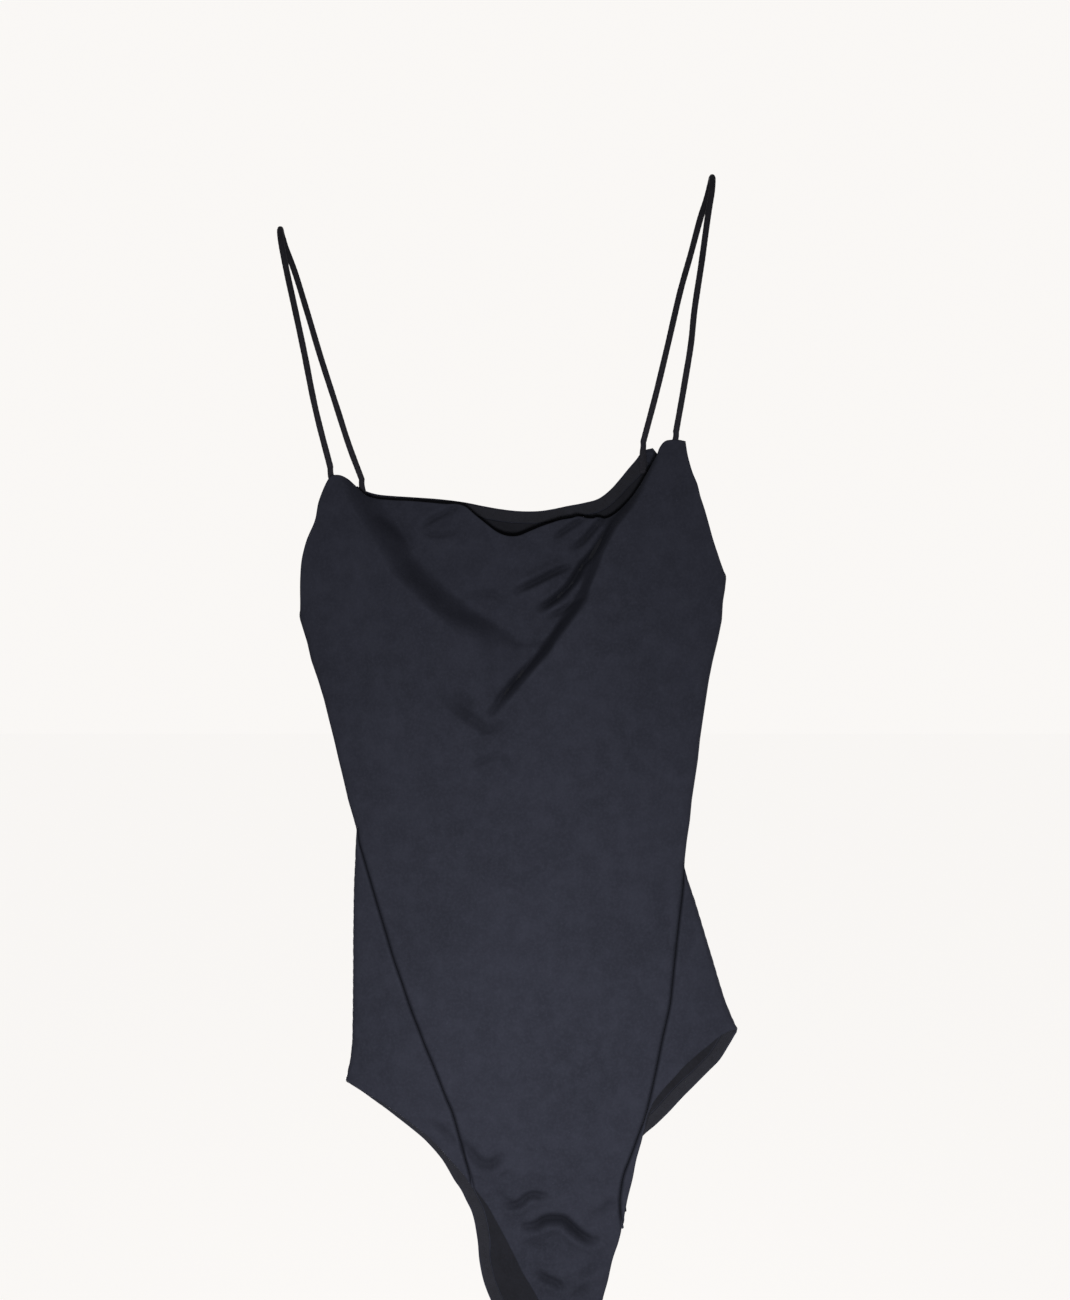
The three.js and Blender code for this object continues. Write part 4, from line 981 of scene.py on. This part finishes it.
def jersey(name, base, light, dark, sheen=0.25):
    """Fine weft knit: wales down the cloth, courses across, a dusty mottle and a few pale flecks of lint."""
    n = Nodes(name, 0.9, sheen=sheen, sheen_tint=(0.65, 0.7, 1.0, 1), specular=0.006, sheen_rough=0.5)
    broad = n.noise(16, 3, 0.55)
    middle = n.noise(90, 3, 0.6)
    fine = n.noise(620, 2, 0.6)
    colour = n.ramp(broad, [(0.22, dark), (0.62, base)])
    colour = n.mix(n.ramp(middle, [(0.40, grey(0)), (0.75, grey(0.4))]), colour, light)
    colour = n.mix(n.ramp(fine, [(0.42, grey(0)), (0.78, grey(0.38))]), colour, light)
    lint = n.ramp(n.noise(1250, 1, 0.5), [(0.745, grey(0)), (0.82, grey(0.34))])
    colour = n.mix(lint, colour, (light[0] * 2.1, light[1] * 2.1, light[2] * 2.1, 1))
    wales = n.wave(620, "X", 0.5)
    courses = n.wave(780, "Z", 0.6)
    knit = n.math("ADD", n.math("MULTIPLY", wales, 0.6), n.math("MULTIPLY", courses, 0.4))
    colour = n.mix(n.ramp(knit, [(0.15, grey(0.28)), (0.75, grey(0))]), colour, (dark[0] * 0.6, dark[1] * 0.6, dark[2] * 0.6, 1))
    # painted shade: the colour is drawn darker in the creases, on the neckline slopes and along the side seams, as the
    # point attribute says
    painted_shade_fac = n.add("ShaderNodeAttribute", attribute_name="painted_shade").outputs["Fac"]
    colour = n.mix(painted_shade_fac, colour, (dark[0] * 0.25, dark[1] * 0.25, dark[2] * 0.25, 1))
    height = n.math("ADD", n.math("MULTIPLY", knit, 0.55), n.math("MULTIPLY", fine, 0.6))
    height = n.math("ADD", height, n.math("MULTIPLY", middle, 0.9))
    rough = n.ramp(middle, [(0.3, grey(0.80)), (0.7, grey(0.93))])
    return n.finish(colour, height, distance=0.00022, strength=0.55, rough=rough)


def ribbed(name, base, light, dark):
    """Woven elastic: close ribs along it and a crosswise texture."""
    n = Nodes(name, 0.8, sheen=0.006, specular=0.03)
    colour = n.ramp(n.noise(240, 3, 0.6), [(0.3, dark), (0.7, base)])
    colour = n.mix(n.ramp(n.wave(900, "DIAGONAL", 1.0), [(0.4, grey(0)), (0.9, grey(0.35))]), colour, light)
    height = n.math("ADD", n.wave(900, "DIAGONAL", 1.0), n.math("MULTIPLY", n.noise(1400), 0.6))
    return n.finish(colour, height, distance=0.0001, strength=0.6)


def twisted(name, base, light, dark):
    """Jersey rolled into a cord: stretched wales that run round it at a slant."""
    n = Nodes(name, 0.8, sheen=0.006, sheen_tint=(0.7, 0.75, 1, 1), specular=0.03)
    colour = n.ramp(n.noise(150, 3, 0.6), [(0.3, dark), (0.7, base)])
    colour = n.mix(n.ramp(n.noise(900, 2, 0.6), [(0.45, grey(0)), (0.8, grey(0.6))]), colour, light)
    height = n.math("ADD", n.wave(520, "DIAGONAL", 1.2), n.math("MULTIPLY", n.noise(700, 2), 0.7))
    return n.finish(colour, height, distance=0.00014, strength=0.6)


JERSEY = jersey("jersey_navy_black", rgb(17.2, 17.9, 22.9), rgb(24.3, 25.2, 31.2), rgb(14.7, 15.4, 19.9), sheen=0.006)
# painted shade: the inside pieces use the same jersey drawn darker, standing in for the shade inside the garment
SHADED_INSIDE = jersey("jersey_lining_painted_shade", rgb(11.0, 11.3, 13.8), rgb(16, 16.4, 20), rgb(10.4, 10.5, 12.6), sheen=0.005)
ELASTIC = ribbed("elastic_black", rgb(13.4, 13.8, 17), rgb(20, 20.4, 25), rgb(11, 11.2, 13.6))
CORD = twisted("cord_black", rgb(16, 15.6, 19), rgb(25, 24, 29), rgb(12, 11.8, 15))
THREAD = ribbed("thread_black", rgb(18, 18, 22), rgb(27, 27, 32), rgb(13, 13, 16))


# ---- the cloth ----
RIM = (0.1, 0.28, 0.5, 0.85, 1.15, 1.5, 2.2, 3.4)
SOFT_RIM = (0.1, 0.3, 0.7, 1.8)
fine = 2.1
coarse = 3.0
runs = {p: outline(p) for p in ("front", "back")}
loops = {p: loop_of(runs[p], 1.6) for p in runs}

front = shell("front_panel_cloth", "front", *loops["front"], JERSEY, fine, RIM, 0.0, CLOTH_T, EDGE_R, detail=detailed("front"))
back = shell("back_panel_cloth", "back", *loops["back"], JERSEY, fine * 1.15, RIM, 0.0, CLOTH_T, EDGE_R, detail=detailed("back"))


def inset(loop, free, by_free, by_seam):
    by = np.where(free, by_free, by_seam)[:, None]
    a, b = loop, np.roll(loop, -1, 0)
    p = loop + inward(loop) * by
    ok = inside(p, loop)
    if free.any():
        ok &= to_loop(p, a[free], b[free]) > by_free * 0.97
    if (~free).any():
        ok &= to_loop(p, a[~free], b[~free]) > by_seam * 0.97
    q = p[ok]
    q = spaced(np.vstack([q, q[:1]]), 2.2)[:-1]
    return q


def clipped(loop, z, above):
    """The part of a loop above or below a height."""
    s = 1 if above else -1
    out = []
    for p, q in zip(loop, np.roll(loop, -1, 0)):
        a, b = s * (p[1] - z), s * (q[1] - z)
        if a >= 0:
            out.append(p)
        if (a >= 0) != (b >= 0):
            out.append(p + (q - p) * (a / (a - b)))
    out = np.array(out)
    return spaced(np.vstack([out, out[:1]]), 2.2)[:-1]


GUSSET_TOP = -612.0
loop_f = inset(*loops["front"], ELASTIC_INSET + ELASTIC_W + 0.6, 3.0)
loop_b = inset(*loops["back"], ELASTIC_INSET + ELASTIC_W + 0.6, 3.0)
shut = lambda l: np.zeros(len(l), bool)
top_f, low_f = clipped(loop_f, GUSSET_TOP + 0.25, True), clipped(loop_f, GUSSET_TOP - 0.25, False)
front_in = shell("front_lining_cloth", "front", top_f, shut(top_f), SHADED_INSIDE, coarse, SOFT_RIM, LINING_OUT, LINING_T, soft=True)
gusset = shell("gusset_lining_cloth", "front", low_f, shut(low_f), SHADED_INSIDE, coarse, SOFT_RIM, LINING_OUT, LINING_T, soft=True)
back_in = shell("back_lining_cloth", "back", loop_b, shut(loop_b), SHADED_INSIDE, coarse, SOFT_RIM, LINING_OUT, LINING_T, soft=True)


# ---- elastics, seams and their stitches ----
def ways(line, sign):
    t = np.gradient(line, axis=0)
    n = np.stack([t[:, 1], -t[:, 0]], 1) * sign
    n /= np.maximum(np.linalg.norm(n, axis=1, keepdims=True), 1e-9)
    k = 5
    pad = np.vstack([n[:1]] * k + [n] + [n[-1:]] * k)
    n = np.stack([np.convolve(pad[:, j], np.ones(2 * k + 1) / (2 * k + 1), "valid") for j in (0, 1)], 1)
    return n / np.linalg.norm(n, axis=1, keepdims=True)


def trimmed(line, start, end):
    s = np.concatenate([[0], np.cumsum(np.linalg.norm(np.diff(line, axis=0), axis=1))])
    keep = (s >= start) & (s <= s[-1] - end)
    return line[keep]


def band_section(lo, hi, near, far, ribs):
    n = 4 * ribs + 1
    t = np.linspace(0, 1, n)
    out = [(lo + (hi - lo) * u, near + (0.18 if u in (0, 1) else 0)) for u in np.linspace(0, 1, 7)]
    back_side = [(lo + (hi - lo) * u, far - (0.2 if i in (0, n - 1) else 0) + 0.08 * math.cos(2 * math.pi * ribs * u)) for i, u in enumerate(t)]
    return out + back_side[::-1]


def fan(point, first, last, steps):
    """Rows that turn from one direction to another about one point."""
    a, b = math.atan2(first[1], first[0]), math.atan2(last[1], last[0])
    d = (b - a + math.pi) % (2 * math.pi) - math.pi
    u = (np.arange(1, steps) / steps)
    ang = a + d * u
    return np.repeat([point], steps - 1, 0), np.stack([np.cos(ang), np.sin(ang)], 1)


STEP = 2.0
stitch_lines = []
feet = {}


def total_length(line):
    return float(np.linalg.norm(np.diff(line, axis=0), axis=1).sum())


def zigzag(parts, lo, hi, pitch, depth):
    """The points of a zigzag seam over a band."""
    points = []
    up = False
    for panel, line, way in parts:
        s = np.concatenate([[0], np.cumsum(np.linalg.norm(np.diff(line, axis=0), axis=1))])
        if s[-1] < pitch:
            continue
        at = np.arange(0, s[-1], pitch / 2)
        q = np.stack([np.interp(at, s, line[:, k]) for k in (0, 1)], 1)
        w = np.stack([np.interp(at, s, way[:, k]) for k in (0, 1)], 1)
        w /= np.linalg.norm(w, axis=1, keepdims=True)
        dist = np.where((np.arange(len(at)) + (1 if up else 0)) % 2 == 0, lo, hi)
        up = len(at) % 2 == 1
        q = q + w * dist[:, None]
        p, n = place_and_face(q[:, 0], q[:, 1], panel, soft=True)
        points.append(p - n * depth)
    return np.vstack(points)


def elastic(name, parts):
    section_points = band_section(ELASTIC_INSET, ELASTIC_INSET + ELASTIC_W, ELASTIC_OUT, ELASTIC_OUT + ELASTIC_T, 5)
    ob = ribbon(name, parts, section_points, ELASTIC)
    stitch_lines.append((name, zigzag([p for p in parts if len(p[1]) > 6], 2.0, 5.6, 2.6, ELASTIC_OUT + ELASTIC_T + 0.2)))
    return ob


pieces = {}
flat_f = {k: spaced(runs["front"][i][0], STEP) for k, i in (("neck", 0),)}
neck_f = trimmed(spaced(flat(L["neck_front"], True, "front"), STEP), 9, 9)
neck_b = trimmed(spaced(flat(L["neck_back"], False, "back"), STEP), 9, 9)
pieces["neck_elastic_front"] = elastic("neck_elastic_front_band", [("front", neck_f, ways(neck_f, 1))])
pieces["neck_elastic_back"] = elastic("neck_elastic_back_band", [("back", neck_b, ways(neck_b, 1))])

for side in ("left", "right"):
    s = 1 if side == "right" else -1
    af = flat(L[f"arm_front_{side}"], True, "front")
    af[-1] = [s * total(s, True, af[-1, 1]), af[-1, 1]]
    ab = flat(L[f"arm_back_{side}"], False, "back")
    ab[-1] = [s * total(s, False, af[-1, 1]), af[-1, 1]]
    af, ab = trimmed(spaced(af, STEP), 9, 0), trimmed(spaced(ab, STEP), 9, 0)
    wf, wb = ways(af, s), ways(ab, s)
    down = np.array([0.0, -1.0])
    p1, w1 = fan(af[-1], wf[-1], down, 6)
    p2, w2 = fan(ab[-1], down, wb[-1], 6)
    pieces[f"armhole_elastic_{side}"] = elastic(f"armhole_elastic_{side}_band", [
        ("front", af, wf), ("front", p1, w1), ("back", ab[-1:], down[None]), ("back", p2, w2), ("back", ab[::-1], wb[::-1]),
    ])
    hem = spaced(to_bend(SIDE[side]["hem_low"], side, True), STEP)
    hem_w = ways(hem, s)
    high = flat(SIDE[side]["hem_high"][::-1], True, "back")
    low = to_bend(L[f"hem_back_{side}"], side, False)
    corner = [s * total(s, False, high[-1, 1]), high[-1, 1]]
    high[-1] = corner
    low[0] = corner
    round_back = spaced(np.vstack([high, low[1:]]), STEP)
    round_w = ways(round_back, s)
    hem, hem_w = hem[:-3], hem_w[:-3]
    round_back, round_w = round_back[:-3], round_w[:-3]
    pieces[f"leg_elastic_{side}"] = elastic(f"leg_elastic_{side}_band", [
        ("front", hem[::-1], hem_w[::-1]), ("back", round_back[1:], round_w[1:]),
    ])
    seam = SIDE[side]["seam"]
    z0 = L[f"arm_front_{side}"][-1, 1]
    seam_q = flat(seam, True, "back")
    seam_q[0, 0] = s * total(s, False, seam[0, 1])
    line = spaced(np.vstack([fold_run(side, z0, seam[0, 1], False, "back")[:-1], seam_q]), STEP)
    line = trimmed(line, 10, 10)
    sec = [(-2.4 + 4.8 * u, 1.35 if 0 < u < 1 else 1.5) for u in np.linspace(0, 1, 7)]
    sec += [(2.4 - 4.8 * u, 2.0 + 0.12 * math.cos(u * 6 * math.pi) - (0.2 if u in (0, 1) else 0)) for u in np.linspace(0, 1, 13)]
    pieces[f"side_seam_{side}"] = ribbon(f"side_seam_{side}_allowance", [("back", line, ways(line, s))], sec, SHADED_INSIDE)
    stitch_lines.append((f"side_seam_{side}", zigzag([("back", line, ways(line, s))], -1.8, 1.8, 2.2, 2.25)))

    # a short bar of thread closes the foot of the seam at the hem
    foot = trimmed(seam_q[::-1], 0, total_length(seam_q) - 7.0)[::-1]
    foot = spaced(np.vstack([foot, foot[-1] + (foot[-1] - foot[-2]) / np.linalg.norm(foot[-1] - foot[-2]) * 0.6]), 0.5)
    p, n = place_and_face(foot[:, 0], foot[:, 1], "back", soft=True)
    feet[side] = tube(f"seam_foot_{side}", p - n * np.linspace(1.25, 0.5, len(p))[:, None], lambda i, a: np.full(len(a), 0.9), 14, JERSEY)

end_b = BEND_Z - CROTCH_R * (math.pi / 2 - SEAM_TURN)
q0, q1 = runs["back"][[i for i, r in enumerate(runs["back"]) if len(r[0]) == 2][0]][0][:, 0]
line = spaced(np.array([[min(q0, q1) + 3.0, end_b], [max(q0, q1) - 3.0, end_b]]), STEP)
up = np.repeat([[0.0, 1.0]], len(line), 0)
sec = [(0.3 + 5.2 * u, 1.35) for u in np.linspace(0, 1, 6)] + [(5.5 - 5.2 * u, 2.0 + 0.1 * math.cos(u * 6 * math.pi)) for u in np.linspace(0, 1, 10)]
pieces["crotch_seam"] = ribbon("crotch_seam_allowance", [("back", line, up)], sec, SHADED_INSIDE)
stitch_lines.append(("crotch_seam", zigzag([("back", line, up)], 1.2, 4.8, 2.2, 2.25)))

threads = {}
for name, points in stitch_lines:
    # each stitch dips a little where the needle went in
    q = spaced(points, 0.9)
    ob = tube("stitches_" + name.replace("_band", ""), q, lambda i, a: np.full(len(a), 0.17), 6, THREAD)
    threads[name] = ob


# ---- strap ends sewn inside the corners ----
def oval(name, path, wide, thick, material):
    """A closed cord of changing section: half widths across X and through the cloth."""
    t = np.gradient(path, axis=0)
    t /= np.linalg.norm(t, axis=1, keepdims=True)
    x = np.array([1.0, 0, 0])
    ang = np.linspace(0, 2 * np.pi, 20, endpoint=False)
    rings = []
    for i in range(len(path)):
        a = x - t[i] * (x @ t[i])
        a /= np.linalg.norm(a)
        b = np.cross(t[i], a)
        rings.append(path[i] + np.outer(np.cos(ang) * wide[i], a) + np.outer(np.sin(ang) * thick[i], b))
    return strip(name, np.array(rings), material)


tacks = []
anchor_pieces = []
for node, where, (x0, z0), pivot in ANCHORS:
    front_side = where == "front"
    px, py, pz = pivot
    edge_z = pz - 5.2
    pts = []
    for x, z, depth in ((x0, z0 - 11.6, 3.05), (x0, z0 - 7, 3.05), (x0, z0 - 2, 3.1), (px, edge_z - 0.6, 3.3)):
        q = across([x], [z], front_side, where)
        p, n = place_and_face(q, np.array([z]), where, soft=True)
        pts.append(p[0] - n[0] * depth)
    q = across([px], [edge_z], front_side, where)
    pts.append(np.array([px, py + (0.7 if front_side else -0.7), pz - 2.6]))
    pts.append(np.array(pivot))
    path = catmull(pts, 0.6)
    s = np.linspace(0, 1, len(path))
    rise = ease((path[:, 2] - (edge_z - 3.5)) / 6.0)
    wide = 2.05 + (1.72 - 2.05) * rise
    thick = 0.62 + (1.72 - 0.62) * rise
    foot = np.sqrt(np.clip(s / 0.03, 0.02, 1))
    wide, thick = wide * (0.75 + 0.25 * foot), thick * (0.35 + 0.65 * foot)
    # a ball at the joint, so the strap can turn about it
    t_end = (path[-1] - path[-2]) / np.linalg.norm(path[-1] - path[-2])
    k = np.linspace(0, 1, 7)[1:]
    cap = np.array([path[-1] + t_end * 1.72 * math.sin(c * math.pi / 2) for c in k])
    r = np.array([max(0.03, 1.72 * math.cos(c * math.pi / 2)) for c in k])
    path = np.vstack([path, cap])
    wide, thick = np.concatenate([wide, r]), np.concatenate([thick, r])
    ob = oval(node + "_cord", path, wide, thick, CORD)
    anchor_pieces.append((node, ob))
    for j in range(6):
        z = z0 - 10.8 + j * 1.9
        lines = []
        for u in np.linspace(-1, 1, 7):
            q = across([x0 + u * 2.0], [z + (0.45 if j % 2 else -0.45) * u], front_side, where)
            p, n = place_and_face(q, np.array([z]), where, soft=True)
            lines.append(p[0] - n[0] * (3.05 + 0.62 * math.sqrt(max(0, 1 - (0.92 * u) ** 2)) + 0.14))
        tacks.append((node, j, np.array(lines)))

for node, j, pts in tacks:
    ob = tube(f"tack_{node}_{j}", spaced(pts, 0.35), lambda i, a: np.full(len(a), 0.16), 6, THREAD)
    threads[f"{node}_{j}"] = ob


# ---- the straps ----
def strap(name, points, seed):
    path = catmull(points, 0.9)
    length = float(np.linalg.norm(np.diff(path, axis=0), axis=1).sum())
    rng = np.random.default_rng(seed)
    n = len(path)
    wob = np.interp(np.arange(n), np.linspace(0, n, 60), rng.uniform(-1, 1, 60)) * 0.05
    fine_wob = rng.uniform(-1, 1, n)
    fine_wob = np.convolve(fine_wob, np.ones(3) / 3, "same") * 0.03
    twist = np.linspace(0, 2.4, n) + 0.3 * np.sin(np.linspace(0, 9, n))

    def radius(i, ang):
        d = (ang - 1.2 - twist[i] + np.pi) % (2 * np.pi) - np.pi
        groove = -0.22 * np.exp(-((d / 0.16) ** 2)) + 0.07 * np.exp(-(((np.abs(d) - 0.45) / 0.22) ** 2))
        ruck = 0.035 * np.sin(i * 1.9 + 2.0 * np.sin(ang * 1.0 + i * 0.11))
        return (STRAP_R - 0.07) * (1 + wob[i] * 0.5 + fine_wob[i] * 0.4) + groove + ruck

    ob = tube(name, path, radius, 24, CORD)
    return ob, path * MM, length * MM


strap_left, path_left, length_left = strap("strap_left_cord", STRAP_LEFT, 21)
strap_right, path_right, length_right = strap("strap_right_cord", STRAP_RIGHT, 22)

# ---- bodies, the nodes that each piece stands for, and a table of the flat sizes of the cloth pieces ----
for ob, node, where in (
    (front, "front_panel", "jersey"), (back, "back_panel", "jersey"), (front_in, "front_lining", "lining"),
    (back_in, "back_lining", "lining"), (gusset, "gusset_lining", "lining"),
):
    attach(ob, "bodice")
    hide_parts(node)
for node, ob in pieces.items():
    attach(ob, "bodice")
    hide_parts(node)
for node, ob in anchor_pieces:
    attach(ob, "bodice")
    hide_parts(node)
for ob in [*threads.values(), *feet.values()]:
    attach(ob, "bodice")
for ob, node, line, length in (
    (strap_left, "strap_left", path_left, length_left), (strap_right, "strap_right", path_right, length_right),
):
    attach(ob, node)
    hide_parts(node)

FLAT = {
    front: (0.295, 0.60, AREA["front_panel_cloth"]),
    back: (0.33, 0.60, AREA["back_panel_cloth"]),
    front_in: (0.28, 0.48, AREA["front_lining_cloth"]),
    back_in: (0.31, 0.56, AREA["back_lining_cloth"]),
    gusset: (0.05, 0.095, AREA["gusset_lining_cloth"]),
}
for ob, (w, l, area) in FLAT.items():
    area = min(max(area, 0.31 * w * l), w * l)

# ---- room, light and camera ----
scene = bpy.context.scene
scene.view_settings.view_transform = "Standard"
scene.view_settings.look = "None"
world = bpy.data.worlds.new("studio")
scene.world = world
world.use_nodes = True
world.node_tree.nodes["Background"].inputs["Color"].default_value = (0.955, 0.935, 0.915, 1)
world.node_tree.nodes["Background"].inputs["Strength"].default_value = 1.0

me = bpy.data.meshes.new("floor")
F = 60.0
me.from_pydata([(-F, -F, -2.6), (F, -F, -2.6), (F, F, -2.6), (-F, F, -2.6)], [], [(0, 1, 2, 3)])
floor = bpy.data.objects.new("floor", me)
scene.collection.objects.link(floor)
floor_mat = bpy.data.materials.new("pale_floor")
floor_mat.use_nodes = True
pale = floor_mat.node_tree.nodes["Principled BSDF"].inputs
pale["Base Color"].default_value = (0.985, 0.985, 0.985, 1)
pale["Roughness"].default_value = 1.0
pale["Specular IOR Level"].default_value = 0.0
me.materials.append(floor_mat)


def lamp(name, at, to, size, energy, spread, colour=(1, 1, 1)):
    light = bpy.data.lights.new(name, "AREA")
    light.shape, light.size, light.size_y = "RECTANGLE", size[0], size[1]
    light.energy, light.color, light.spread = energy, colour, math.radians(spread)
    ob = bpy.data.objects.new(name, light)
    scene.collection.objects.link(ob)
    ob.location = at
    ob.rotation_euler = (Vector(to) - Vector(at)).to_track_quat("-Z", "Y").to_euler()
    return ob


lamp("key", (0.04, -1.42, -0.42), (0.03, 0, -0.54), (0.1, 0.1), 7.9, 52)
lamp("rear", (-0.55, 1.6, -0.8), (0.02, 0, -0.42), (0.14, 0.14), 19, 62)
lamp("rear_right", (1.1, 1.3, -0.75), (0.02, 0, -0.42), (0.14, 0.14), 4.5, 62)

cam = bpy.data.cameras.new("camera")
cam.sensor_width, cam.lens = 36.0, 60.8
cam.clip_start, cam.clip_end = 0.05, 120
camera = bpy.data.objects.new("camera", cam)
scene.collection.objects.link(camera)
camera.location = (0.0228, -1.300, -0.2655)
camera.rotation_euler = (math.pi / 2, 0, 0)
scene.camera = camera

bpy.context.view_layer.update()
